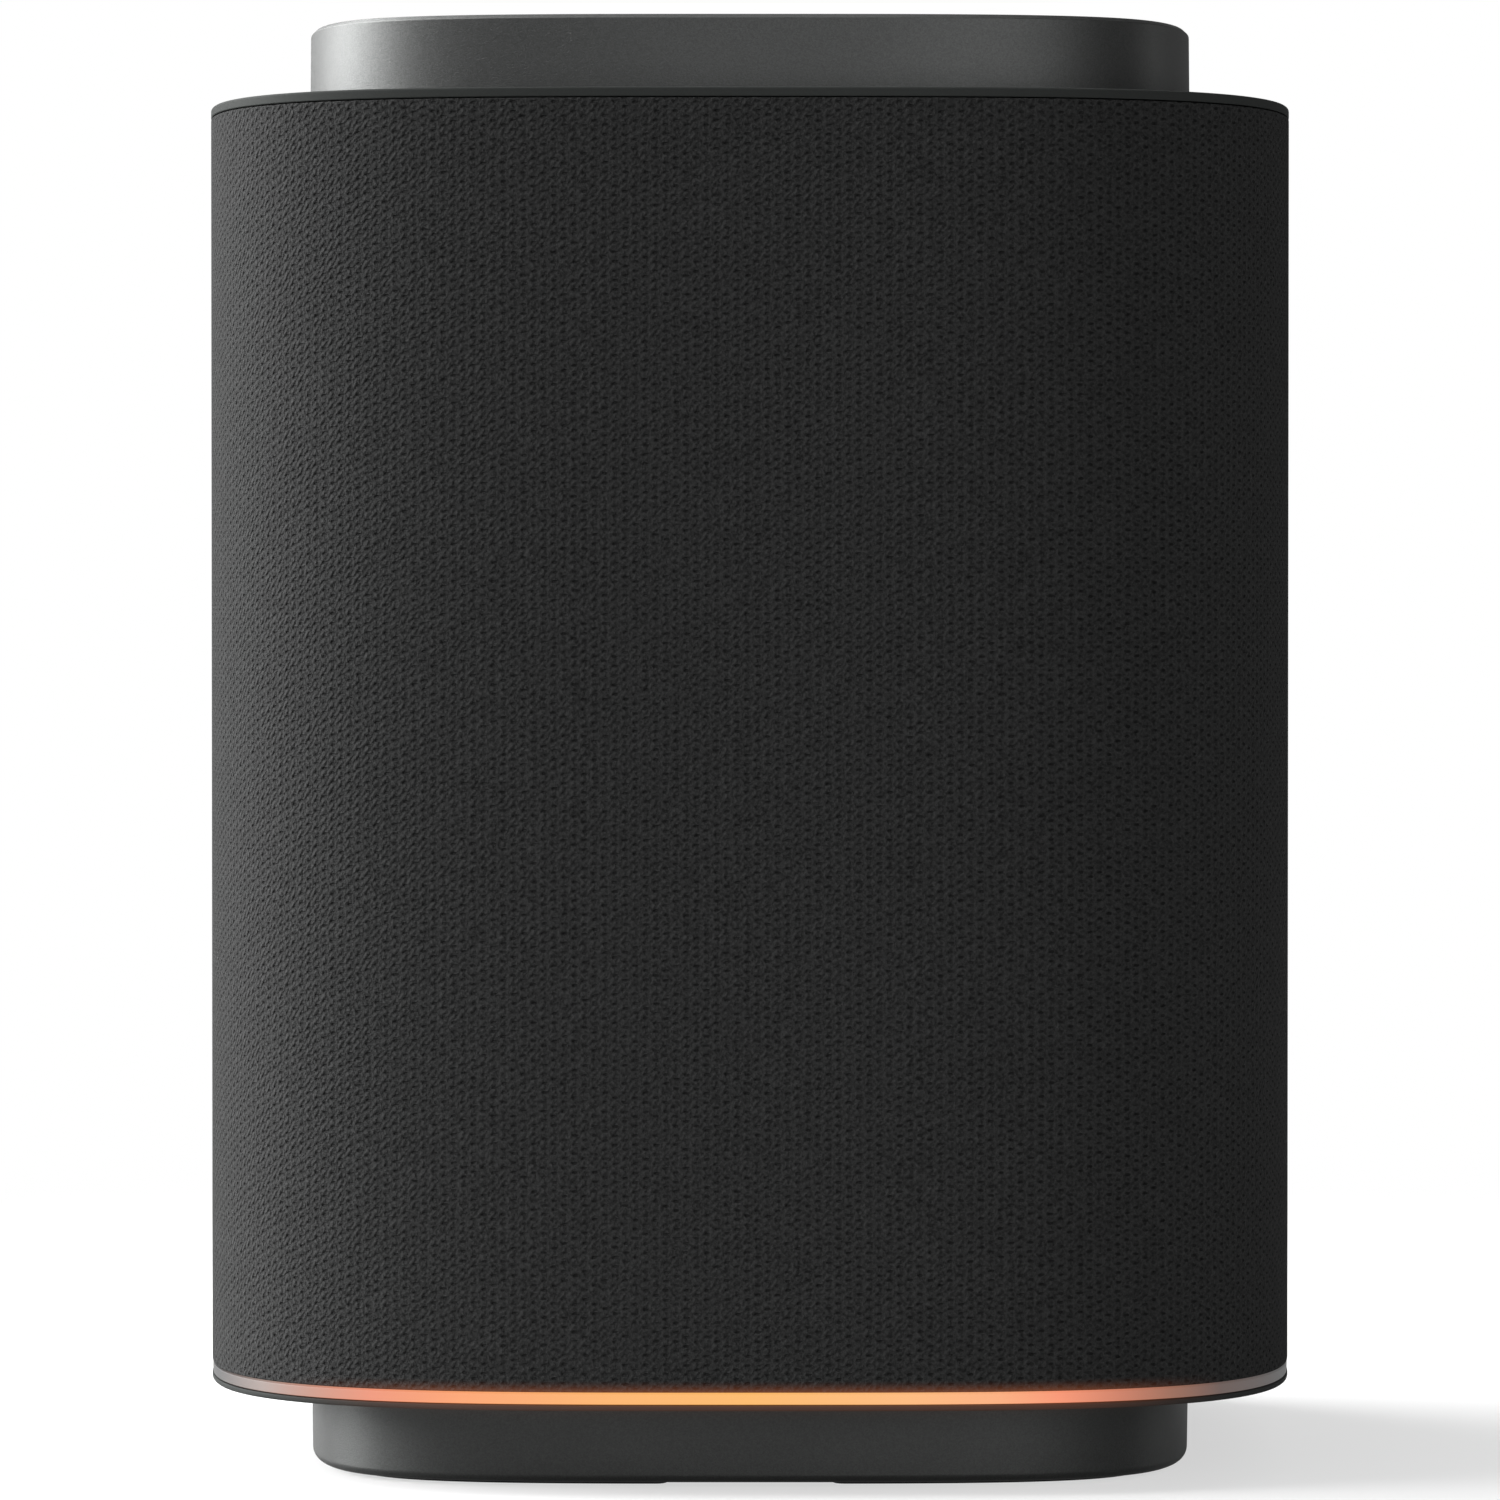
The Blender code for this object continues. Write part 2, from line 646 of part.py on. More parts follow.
# ================================================================ acoustic enclosure
def build_enclosure(plastic, rubber):
    """Sealed box for the woofer and the radiators, with its lid and gasket."""
    profile = (
        (1.0, BOX_BOTTOM),
        (0.0, BOX_BOTTOM + 1.0),
        (0.0, BOX_TOP),
        (BOX_WALL, BOX_TOP),
        (BOX_WALL, BOX_BOTTOM + BOX_WALL),
    )
    box = add_part("enclosure_body", loft("enclosure_body", ENCLOSURE_PLAN, profile), plastic)
    hole = lathe("woofer_hole", ((0.0, -9.0), (WOOFER_HOLE, -9.0), (WOOFER_HOLE, 9.0), (0.0, 9.0)), WOOFER_SEGMENTS)
    shape_with(box, hole, "DIFFERENCE", (0.0, -BOX_HALF, DRIVER_Z), FACING_FRONT)
    reach = BOX_HALF + 9.0
    holes = lathe(
        "radiator_holes",
        ((0.0, -reach), (RADIATOR_HOLE, -reach), (RADIATOR_HOLE, reach), (0.0, reach)),
        RADIATOR_SEGMENTS,
    )
    shape_with(box, holes, "DIFFERENCE", (0.0, 0.0, DRIVER_Z), FACING_RIGHT)
    wire = lathe("wire_hole", ((0.0, -9.0), (3.5, -9.0), (3.5, 9.0), (0.0, 9.0)), 12)
    shape_with(box, wire, "DIFFERENCE", (0.0, BOX_HALF, DRIVER_Z), FACING_FRONT)

    profile = (
        (2.2, BOX_TOP + 0.2),
        (0.3, BOX_TOP + 0.2),
        (0.3, GASKET_TOP),
        (2.2, GASKET_TOP),
    )
    gasket = loft("enclosure_gasket", ENCLOSURE_PLAN, profile, True)
    add_part("enclosure_gasket", gasket, rubber)

    profile = ((0.0, LID_BOTTOM), (0.0, LID_TOP - 1.0), (1.0, LID_TOP))
    lid = add_part("enclosure_lid", loft("enclosure_lid", ENCLOSURE_PLAN, profile), plastic)
    bosses = [(x, y + BOARD_CENTRE_Y) for x, y in four_corners(31.0)]
    shape_with(
        lid, posts("board_bosses", bosses, 3.0, LID_TOP - 0.8, BOARD_BOTTOM - GAP, 14), "UNION"
    )


def build_woofer(paper, rubber, spider_cloth, steel, ferrite, basket_metal):
    """Front driver: basket, motor, cone with its voice coil, surround and spider."""
    at = (0.0, -BOX_HALF, DRIVER_Z)

    def place(name, profile, material, ring=False):
        mesh = lathe(name, profile, WOOFER_SEGMENTS, ring)
        return add_part(name, mesh, material, at, FACING_FRONT)

    basket = place(
        "woofer_basket",
        (
            (38.0, 0.3),
            (38.0, 2.3),
            (34.3, 2.3),
            (31.5, -0.5),
            (31.5, -2.0),
            (22.0, -17.0),
            (12.6, -17.0),
            (12.6, -18.8),
            (23.4, -18.8),
            (33.0, -2.4),
            (33.0, 0.3),
        ),
        basket_metal,
        True,
    )
    windows = []
    for i in range(6):
        turn = FULL_TURN * (i + 0.5) / 6
        centre = (28.0 * math.cos(turn), 28.0 * math.sin(turn), -9.5)
        windows.append((centre, (16.0, 15.0, 8.0), turn))
    shape_with(basket, boxes("basket_windows", windows), "DIFFERENCE", at, FACING_FRONT)
    place(
        "woofer_top_plate",
        ((11.0, -23.1), (22.0, -23.1), (22.0, -19.1), (11.0, -19.1)),
        steel,
        True,
    )
    place(
        "woofer_magnet",
        ((13.0, -32.3), (23.0, -32.3), (23.0, -23.4), (13.0, -23.4)),
        ferrite,
        True,
    )
    place(
        "woofer_yoke",
        ((0.0, -36.6), (22.0, -36.6), (22.0, -32.6), (9.4, -32.6), (9.4, -19.4), (9.0, -19.0), (0.0, -19.0)),
        steel,
    )
    place(
        "woofer_cone",
        (
            (0.0, -4.0),
            (5.0, -4.9),
            (9.5, -7.9),
            (27.5, 1.2),
            (27.5, 0.5),
            (10.6, -9.3),
            (10.6, -24.0),
            (9.75, -24.0),
            (9.75, -9.0),
            (5.0, -5.7),
            (0.0, -4.8),
        ),
        paper,
    )
    place(
        "woofer_surround",
        (
            (27.9, 1.2),
            (29.4, 3.5),
            (30.6, 4.1),
            (31.7, 3.5),
            (33.0, 1.9),
            (33.0, 2.7),
            (30.6, 4.8),
            (27.9, 2.0),
        ),
        rubber,
        True,
    )
    place(
        "woofer_spider",
        (
            (11.0, -14.6),
            (15.0, -13.6),
            (19.0, -14.6),
            (22.6, -13.6),
            (22.6, -14.2),
            (19.0, -15.2),
            (15.0, -14.2),
            (11.0, -15.2),
        ),
        spider_cloth,
        True,
    )


def build_radiators(frame_plastic, rubber, piston_metal):
    """Passive radiator on each side: frame, piston and rolled surround."""
    frame = (
        (36.0, 0.3),
        (36.0, 2.3),
        (31.2, 2.3),
        (29.6, 0.9),
        (29.6, -2.5),
        (30.6, -2.5),
        (30.6, 0.3),
    )
    surround = (
        (24.0, 0.6),
        (25.6, 2.3),
        (26.7, 2.8),
        (27.8, 2.3),
        (29.2, 0.7),
        (29.2, 1.5),
        (26.7, 3.6),
        (24.0, 1.4),
    )
    piston = (
        (0.0, 0.4),
        (17.0, 0.4),
        (19.0, 1.6),
        (23.0, 1.6),
        (23.6, 1.0),
        (23.6, -0.6),
        (0.0, -0.6),
    )
    for side, sign, facing in (("right", 1, FACING_RIGHT), ("left", -1, FACING_LEFT)):
        at = (sign * BOX_HALF, 0.0, DRIVER_Z)
        for name, profile, material, ring in (
            (f"radiator_frame_{side}", frame, frame_plastic, True),
            (f"radiator_surround_{side}", surround, rubber, True),
            (f"radiator_piston_{side}", piston, piston_metal, False),
        ):
            mesh = lathe(name, profile, RADIATOR_SEGMENTS, ring)
            add_part(name, mesh, material, at, facing)


# ================================================================ tweeters and boards
def build_tweeters(bracket_plastic, housing_black, dome_silk):
    """Two dome drivers in a bracket above the enclosure."""
    section = (
        (TWEETER_Y, LID_TOP + 0.4),
        (-36.0, LID_TOP + 0.4),
        (-36.0, LID_TOP + 2.4),
        (TWEETER_Y + 2.2, LID_TOP + 2.4),
        (TWEETER_Y + 2.2, 151.0),
        (TWEETER_Y, 151.0),
    )
    bracket = add_part(
        "tweeter_bracket", prism("tweeter_bracket", section, "X", -43.0, 43.0), bracket_plastic
    )
    housing = (
        (0.0, -12.0),
        (12.9, -12.0),
        (12.9, 0.3),
        (15.5, 0.3),
        (15.5, 2.3),
        (12.2, 2.3),
        (10.6, 0.9),
        (10.6, -3.0),
        (0.0, -3.0),
    )
    dome = (
        (0.0, 1.9),
        (4.8, 1.3),
        (8.2, -0.1),
        (10.2, -1.5),
        (10.2, -1.9),
        (9.2, -1.9),
        (4.6, 0.6),
        (0.0, 1.1),
    )
    hole = ((0.0, -9.0), (TWEETER_HOLE, -9.0), (TWEETER_HOLE, 9.0), (0.0, 9.0))
    for side, sign in (("right", 1), ("left", -1)):
        at = (sign * TWEETER_X, TWEETER_Y, TWEETER_Z)
        cutter = lathe(f"tweeter_hole_{side}", hole, TWEETER_SEGMENTS)
        shape_with(bracket, cutter, "DIFFERENCE", at, FACING_FRONT)
        for name, profile, material in (
            (f"tweeter_housing_{side}", housing, housing_black),
            (f"tweeter_dome_{side}", dome, dome_silk),
        ):
            add_part(name, lathe(name, profile, TWEETER_SEGMENTS), material, at, FACING_FRONT)


def build_boards(board_green, aluminium, steel, ribbon_plastic):
    """Main board with its heat sink, shield can, radio module and the ribbon to the top."""
    low = (-40.0, BOARD_CENTRE_Y - 35.0, BOARD_BOTTOM)
    high = (40.0, BOARD_CENTRE_Y + 35.0, BOARD_TOP)
    add_part("main_board", boxes("main_board", [span(low, high)]), board_green)

    fins = 7
    fin_thickness = 1.6
    half_width = 21.0
    pitch = (2 * half_width - fin_thickness) / (fins - 1)
    base_top = PART_ON_BOARD + 2.2
    fin_top = 141.0
    comb = [(half_width, PART_ON_BOARD), (-half_width, PART_ON_BOARD)]
    for i in range(fins):
        left = -half_width + pitch * i
        comb.append((left, base_top if i else fin_top))
        if i:
            comb.append((left, fin_top))
        comb.append((left + fin_thickness, fin_top))
        if i < fins - 1:
            comb.append((left + fin_thickness, base_top))
    add_part("heat_sink", prism("heat_sink", comb, "Y", -4.0, 32.0), aluminium)

    can = span((-38.0, -24.0, PART_ON_BOARD), (-16.0, -8.0, PART_ON_BOARD + 3.0))
    add_part("shield_can", boxes("shield_can", [can]), steel)
    radio = span((14.0, -24.0, PART_ON_BOARD), (32.0, -10.0, PART_ON_BOARD + 2.2))
    add_part("wireless_module", boxes("wireless_module", [radio]), steel)
    strip = span(
        (-6.0, RIBBON_Y - 0.2, PART_ON_BOARD), (6.0, RIBBON_Y + 0.2, CONTROL_BOARD_BOTTOM - GAP)
    )
    add_part("control_ribbon", boxes("control_ribbon", [strip]), ribbon_plastic)


# ================================================================ assembly
def main():
    """Build every part of the speaker."""
    clear_scene()
    body_metal = paint("graphite_paint", (0.085, 0.09, 0.088), 0.38, 0.6)
    dark_plastic = paint("dark_rim_plastic", (0.022, 0.022, 0.024), 0.5)
    fabric = paint("knit_fabric", (0.02, 0.02, 0.021), 0.95)
    diffuser = paint("light_diffuser", (0.75, 0.72, 0.68), 0.45)
    rubber = paint("black_rubber", (0.014, 0.014, 0.014), 0.85)
    surround_rubber = paint("surround_rubber", (0.018, 0.018, 0.018), 0.7)
    board_green = paint("board_laminate", (0.015, 0.075, 0.035), 0.45)
    steel = paint("plated_steel", (0.55, 0.56, 0.57), 0.32, 1.0)
    ferrite = paint("ferrite", (0.045, 0.045, 0.05), 0.6)
    aluminium = paint("bare_aluminium", (0.62, 0.63, 0.64), 0.35, 1.0)
    grille = paint("grille_plastic", (0.03, 0.03, 0.032), 0.65)
    inner = paint("inner_plastic", (0.05, 0.05, 0.055), 0.6)
    button_plastic = paint("button_plastic", (0.06, 0.062, 0.062), 0.45)
    switch_black = paint("switch_plastic", (0.02, 0.02, 0.02), 0.5)
    paper = paint("cone_paper", (0.03, 0.03, 0.03), 0.8)
    spider_cloth = paint("spider_cloth", (0.35, 0.2, 0.06), 0.9)
    silk = paint("dome_silk", (0.04, 0.04, 0.045), 0.7)
    ribbon_plastic = paint("ribbon_plastic", (0.6, 0.3, 0.06), 0.5)

    build_feet(rubber)
    build_base(body_metal)
    build_inlet(steel, board_green)
    build_screws(steel)
    build_lower_chassis(dark_plastic)
    build_lights(diffuser, board_green)
    build_body(fabric, grille)
    build_top(dark_plastic, body_metal)
    build_controls(inner, button_plastic, board_green, switch_black)
    build_enclosure(inner, rubber)
    build_woofer(paper, surround_rubber, spider_cloth, steel, ferrite, aluminium)
    build_radiators(inner, surround_rubber, aluminium)
    build_tweeters(inner, switch_black, silk)
    build_boards(board_green, aluminium, steel, ribbon_plastic)


main()
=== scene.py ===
"""Smart speaker in knitted cloth and satin paint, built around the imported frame."""
import bisect
import json
import math

import bmesh
import bpy
from bpy.props import FloatProperty, FloatVectorProperty, IntProperty, PointerProperty
from mathutils import Matrix, Vector


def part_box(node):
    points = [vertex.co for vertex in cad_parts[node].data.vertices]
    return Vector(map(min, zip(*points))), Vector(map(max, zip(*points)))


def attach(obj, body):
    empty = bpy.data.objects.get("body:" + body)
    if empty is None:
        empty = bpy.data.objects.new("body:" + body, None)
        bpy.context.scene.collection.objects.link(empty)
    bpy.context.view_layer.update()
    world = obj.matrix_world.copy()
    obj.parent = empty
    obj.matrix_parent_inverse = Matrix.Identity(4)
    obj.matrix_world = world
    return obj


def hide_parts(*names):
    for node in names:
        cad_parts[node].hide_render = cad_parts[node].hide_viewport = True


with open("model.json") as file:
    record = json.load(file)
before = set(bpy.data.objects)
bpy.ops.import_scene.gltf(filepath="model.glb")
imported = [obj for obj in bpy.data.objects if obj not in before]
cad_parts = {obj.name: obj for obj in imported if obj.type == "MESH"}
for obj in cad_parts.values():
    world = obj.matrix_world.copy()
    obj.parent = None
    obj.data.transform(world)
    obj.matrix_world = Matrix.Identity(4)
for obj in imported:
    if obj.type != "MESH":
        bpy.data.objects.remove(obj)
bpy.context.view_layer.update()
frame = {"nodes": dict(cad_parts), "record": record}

bl_info = {
    "name": "Smart speaker",
    "version": (1, 0, 0),
    "blender": (4, 5, 0),
    "location": "View3D > Sidebar > Speaker",
    "description": "Builds a tabletop smart speaker piece by piece",
    "category": "Object",
}

MM = 0.001
FULL_TURN = 2.0 * math.pi
QUARTER_TURN = math.pi / 2
HOUSING = "housing"

# Corners of the frame's boxes, in metres.
SLEEVE_LOW, SLEEVE_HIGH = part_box("fabric_sleeve")
TOP_RIM_LOW, TOP_RIM_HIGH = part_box("top_rim")
CAP_LOW, CAP_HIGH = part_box("top_cap")
LIGHT_LOW, LIGHT_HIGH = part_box("light_ring")
BASE_LOW, BASE_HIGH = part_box("base_shell")
INLET_LOW, INLET_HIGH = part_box("power_inlet")

# Heights above the table, in millimetres.
BASE_TOP_MM = BASE_HIGH.z / MM
LOWER_RIM_LOW_MM = 9.9
LOWER_RIM_EDGE_MM = 10.51
LOWER_RIM_DECK_MM = 14.0
GLOW_LOW_MM = LIGHT_LOW.z / MM - 0.08
GLOW_HIGH_MM = LIGHT_HIGH.z / MM - 0.4
SLEEVE_FOOT_MM = SLEEVE_LOW.z / MM - 0.42
SLEEVE_HEAD_MM = SLEEVE_HIGH.z / MM
RIM_EDGE_MM = 158.3
RIM_TOP_MM = TOP_RIM_HIGH.z / MM
CAP_MM = CAP_HIGH.z / MM
PANEL_TOP_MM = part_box("control_panel")[1].z / MM
BUTTON_TOP_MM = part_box("action_button")[1].z / MM

# Distances of the screws and microphones from the axis, along X and along Y.
SCREW_SPREAD_MM = 27.0
PORT_SPREAD_MM = 21.0

SHARP_ANGLE = math.radians(38.0)
RANGE_SOCKETS = ("From Min", "From Max", "To Min", "To Max")
WHITE = (1.0, 1.0, 1.0, 1.0)


# ---------------- sizes and colours
class SpeakerSizes(bpy.types.PropertyGroup):
    """Sizes of the outside."""

    half_width: FloatProperty(
        name="Half width",
        description="Half of the body's width, at the middle of a side",
        default=SLEEVE_HIGH.x,
        unit="LENGTH",
        precision=4,
    )
    squareness: FloatProperty(
        name="Squareness",
        description="Exponent of the body's plan: 2 is a circle, higher is squarer",
        default=3.6,
        min=2.0,
    )
    ring_points: IntProperty(
        name="Points round the body",
        description="How finely every outline is divided",
        default=240,
        min=48,
    )
    column_width: FloatProperty(
        name="Knit column width",
        description="Distance between neighbouring columns of holes in the cloth",
        default=1.15 * MM,
        unit="LENGTH",
        precision=5,
    )
    row_height: FloatProperty(
        name="Knit row height",
        description="Distance between holes in one column of the cloth",
        default=1.06 * MM,
        unit="LENGTH",
        precision=5,
    )
    cap_inset: FloatProperty(
        name="Cap inset",
        description="How far the cap stands back from the body",
        default=11.8 * MM,
        unit="LENGTH",
        precision=4,
    )
    edge_softness: FloatProperty(
        name="Cap edge radius",
        description="Radius of the two edges of the cap's top bevel",
        default=0.16 * MM,
        unit="LENGTH",
        precision=4,
    )


def colour_property(name, description, default):
    """A colour that the user may change."""
    return FloatVectorProperty(
        name=name,
        description=description,
        default=default,
        size=3,
        subtype="COLOR",
        min=0.0,
        max=1.0,
    )


class SpeakerColours(bpy.types.PropertyGroup):
    """Colours of the finishes."""

    cloth: colour_property("Cloth", "Colour of the knitted yarn", (0.0222, 0.0225, 0.0225))
    paint: colour_property("Paint", "Colour of the cap's paint", (0.078, 0.08, 0.079))
    # The base's paint is the cap's paint made darker: painted shade under the body's overhang.
    base_paint: colour_property("Base paint", "Colour of the base's paint", (0.062, 0.064, 0.063))
    rim: colour_property("Rims", "Colour of the two dark rims", (0.0275, 0.0293, 0.0283))
    rubber: colour_property("Rubber", "Colour of the foot pads", (0.012, 0.012, 0.012))
    glow: colour_property("Glow tint", "Tint over the light ring's own colours", (1.0, 1.0, 1.0))


class StudioSettings(bpy.types.PropertyGroup):
    """Camera and light."""

    camera_distance: FloatProperty(
        name="Camera distance",
        description="From the camera to the speaker's axis",
        default=0.936,
        unit="LENGTH",
    )
    camera_height: FloatProperty(
        name="Camera height",
        description="Above the table",
        default=0.0999,
        unit="LENGTH",
        precision=4,
    )
    camera_tilt: FloatProperty(
        name="Camera tilt",
        description="Downward",
        default=math.radians(1.003),
        subtype="ANGLE",
    )
    lens: FloatProperty(
        name="Lens",
        description="Focal length, in millimetres on a 36 mm sensor",
        default=185.58,
    )
    side_light: FloatProperty(
        name="Side light",
        description="Power of the large soft light on the left",
        default=89.0,
        subtype="POWER",
    )
    front_light: FloatProperty(
        name="Front light",
        description="Power of the weak soft light right of the camera",
        default=1.1,
        subtype="POWER",
    )
    top_light: FloatProperty(
        name="Top light",
        description="Power of the soft light overhead",
        default=3.6,
        subtype="POWER",
    )
    left_strip: FloatProperty(
        name="Left strip",
        description="Power of the narrow light behind on the left, for the paint's left edge",
        default=1.9,
        subtype="POWER",
    )
    right_strip: FloatProperty(
        name="Right strip",
        description="Power of the narrow light behind on the right, for the paint's right edge",
        default=0.22,
        subtype="POWER",
    )
    ambient: FloatProperty(
        name="Ambient",
        description="Strength of the light from all round",
        default=0.265,
    )


def sizes():
    """The scene's sizes."""
    return bpy.context.scene.speaker_sizes


def colours():
    """The scene's colours."""
    return bpy.context.scene.speaker_colours


def studio():
    """The scene's camera and light settings."""
    return bpy.context.scene.speaker_studio


# ---------------- plan outline
def signed_power(value, power):
    """Raise the size of a number to a power and keep its sign."""
    return math.copysign(abs(value) ** power, value)


def squared_circle(turn, power):
    """A point of the unit circle, with both its parts raised to a power."""
    return Vector((signed_power(math.cos(turn), power), signed_power(math.sin(turn), power)))


def plan_normal(turn):
    """Outward normal of the body's plan."""
    exponent = sizes().squareness
    return squared_circle(turn, 2.0 * (exponent - 1.0) / exponent).normalized()


def plan_point(turn, inset_mm):
    """A point of the body's plan, moved inward along its normal, in metres."""
    point = squared_circle(turn, 2.0 / sizes().squareness) * sizes().half_width
    return point - plan_normal(turn) * inset_mm * MM


def plan_turns(count):
    """Turns round the plan, from the middle of the rear."""
    return [QUARTER_TURN + FULL_TURN * i / count for i in range(count + 1)]


def arc_lengths(turns, inset_mm=0.0):
    """Distance along the plan at each turn."""
    points = [plan_point(turn, inset_mm) for turn in turns]
    lengths = [0.0]
    for before, after in zip(points, points[1:]):
        lengths.append(lengths[-1] + (after - before).length)
    return lengths


# ---------------- profiles
LONGEST_ROUNDING = 0.48  # share of an edge that one rounded corner may use


def soften(corners, steps=5, ring=False):
    """Round the corners of a profile. Each corner is (first, second, radius)."""
    rounded = []
    count = len(corners)
    for i, (a, b, radius) in enumerate(corners):
        here = Vector((a, b))
        at_end = not ring and i in (0, count - 1)
        if radius <= 0.0 or at_end:
            rounded.append((a, b))
            continue
        before = Vector(corners[i - 1][:2]) - here
        after = Vector(corners[(i + 1) % count][:2]) - here
        half_angle = before.angle(after) / 2
        longest = LONGEST_ROUNDING * min(before.length, after.length)
        reach = min(radius / math.tan(half_angle), longest)
        start = here + before.normalized() * reach
        end = here + after.normalized() * reach
        weight = math.sin(half_angle)
        for step in range(steps + 1):
            t = step / steps
            parts = ((1 - t) ** 2, 2 * weight * t * (1 - t), t**2)
            point = (start * parts[0] + here * parts[1] + end * parts[2]) / sum(parts)
            rounded.append((point.x, point.y))
    return rounded


# ---------------- meshes
def to_object(name, bm):
    """Turn the faces outward and make an object."""
    bmesh.ops.recalc_face_normals(bm, faces=bm.faces)
    mesh = bpy.data.meshes.new(name)
    bm.to_mesh(mesh)
    bm.free()
    piece = bpy.data.objects.new(name, mesh)
    bpy.context.scene.collection.objects.link(piece)
    return piece


def quads(bm, lower, upper, wraps):
    """Quads between two equal rows of vertices."""
    count = len(lower)
    for i in range(count if wraps else count - 1):
        j = (i + 1) % count
        bm.faces.new((lower[i], lower[j], upper[j], upper[i]))


def loft(name, profile, ring=False):
    """Stack plan outlines along a profile of (inset, height) in millimetres."""
    turns = plan_turns(sizes().ring_points)[:-1]
    bm = bmesh.new()
    rows = []
    for inset, z in profile:
        row = []
        for turn in turns:
            point = plan_point(turn, inset)
            row.append(bm.verts.new((point.x, point.y, z * MM)))
        rows.append(row)
    for lower, upper in zip(rows, rows[1:]):
        quads(bm, lower, upper, True)
    if ring:
        quads(bm, rows[-1], rows[0], True)
    else:
        bm.faces.new(rows[0])
        bm.faces.new(rows[-1])
    return to_object(name, bm)


def lathe(name, profile, segments=64, ring=False, place=None):
    """Turn a profile of (radius, height) in millimetres about Z."""
    bm = bmesh.new()
    rows = []
    for radius, z in profile:
        if radius == 0.0:
            rows.append([bm.verts.new((0.0, 0.0, z * MM))])
            continue
        row = []
        for i in range(segments):
            turn = FULL_TURN * i / segments
            x = radius * MM * math.cos(turn)
            y = radius * MM * math.sin(turn)
            row.append(bm.verts.new((x, y, z * MM)))
        rows.append(row)
    pairs = list(zip(rows, rows[1:]))
    if ring:
        pairs.append((rows[-1], rows[0]))
    for lower, upper in pairs:
        if len(lower) == len(upper):
            quads(bm, lower, upper, True)
            continue
        tip = lower[0] if len(lower) == 1 else upper[0]
        rim = upper if len(lower) == 1 else lower
        for i in range(segments):
            bm.faces.new((rim[i], rim[(i + 1) % segments], tip))
    if place is not None:
        bmesh.ops.transform(bm, matrix=place, verts=bm.verts)
    return to_object(name, bm)


def stacked(name, outline, levels, place=None):
    """Stack copies of an outline function; each level is (shrink, height)."""
    bm = bmesh.new()
    rows = []
    for shrink, z in levels:
        rows.append([bm.verts.new((x * MM, y * MM, z * MM)) for x, y in outline(shrink)])
    for lower, upper in zip(rows, rows[1:]):
        quads(bm, lower, upper, True)
    bm.faces.new(rows[0])
    bm.faces.new(rows[-1])
    if place is not None:
        bmesh.ops.transform(bm, matrix=place, verts=bm.verts)
    return to_object(name, bm)


def rounded_rectangle(half_x, half_y, corner, steps):
    """An outline function for a rounded rectangle, in millimetres."""

    def outline(shrink):
        radius = corner - shrink
        points = []
        for quarter, (side_x, side_y) in enumerate(((1, 1), (-1, 1), (-1, -1), (1, -1))):
            for step in range(steps + 1):
                turn = QUARTER_TURN * (quarter + step / steps)
                x = side_x * (half_x - shrink - radius) + radius * math.cos(turn)
                y = side_y * (half_y - shrink - radius) + radius * math.sin(turn)
                points.append((x, y))
        return points

    return outline


def moved(x=0.0, y=0.0, z=0.0):
    """A shift in millimetres."""
    return Matrix.Translation(Vector((x, y, z)) * MM)


def four_turned(name, profile, segments, spread):
    """Four equal turned tools, at the corners of a square about the axis."""
    places = [moved(x, y) for y in (-spread, spread) for x in (-spread, spread)]
    return [lathe(f"{name}_{i}", profile, segments, place=place) for i, place in enumerate(places)]


def shape(piece, tools, operation="DIFFERENCE"):
    """Cut tools out of a piece, or join them on, and keep the plain result."""
    for tool in tools:
        modifier = piece.modifiers.new(tool.name, "BOOLEAN")
        modifier.operation = operation
        modifier.object = tool
        modifier.solver = "EXACT"
    bpy.context.view_layer.update()
    graph = bpy.context.evaluated_depsgraph_get()
    mesh = bpy.data.meshes.new_from_object(piece.evaluated_get(graph))
    piece.modifiers.clear()
    piece.data = mesh
    for tool in tools:
        bpy.data.objects.remove(tool, do_unlink=True)
    return piece


def finish_piece(piece, material, body, replaced=()):
    """Shade and paint a piece, hang it under its body, and hide the parts that it replaces."""
    piece.data.materials.clear()
    piece.data.materials.append(material)
    piece.data.shade_smooth()
    piece.data.set_sharp_from_angle(angle=SHARP_ANGLE)
    weighted = piece.modifiers.new("even_shading", "WEIGHTED_NORMAL")
    weighted.keep_sharp = True
    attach(piece, body)
    if replaced:
        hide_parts(*replaced)
    return piece


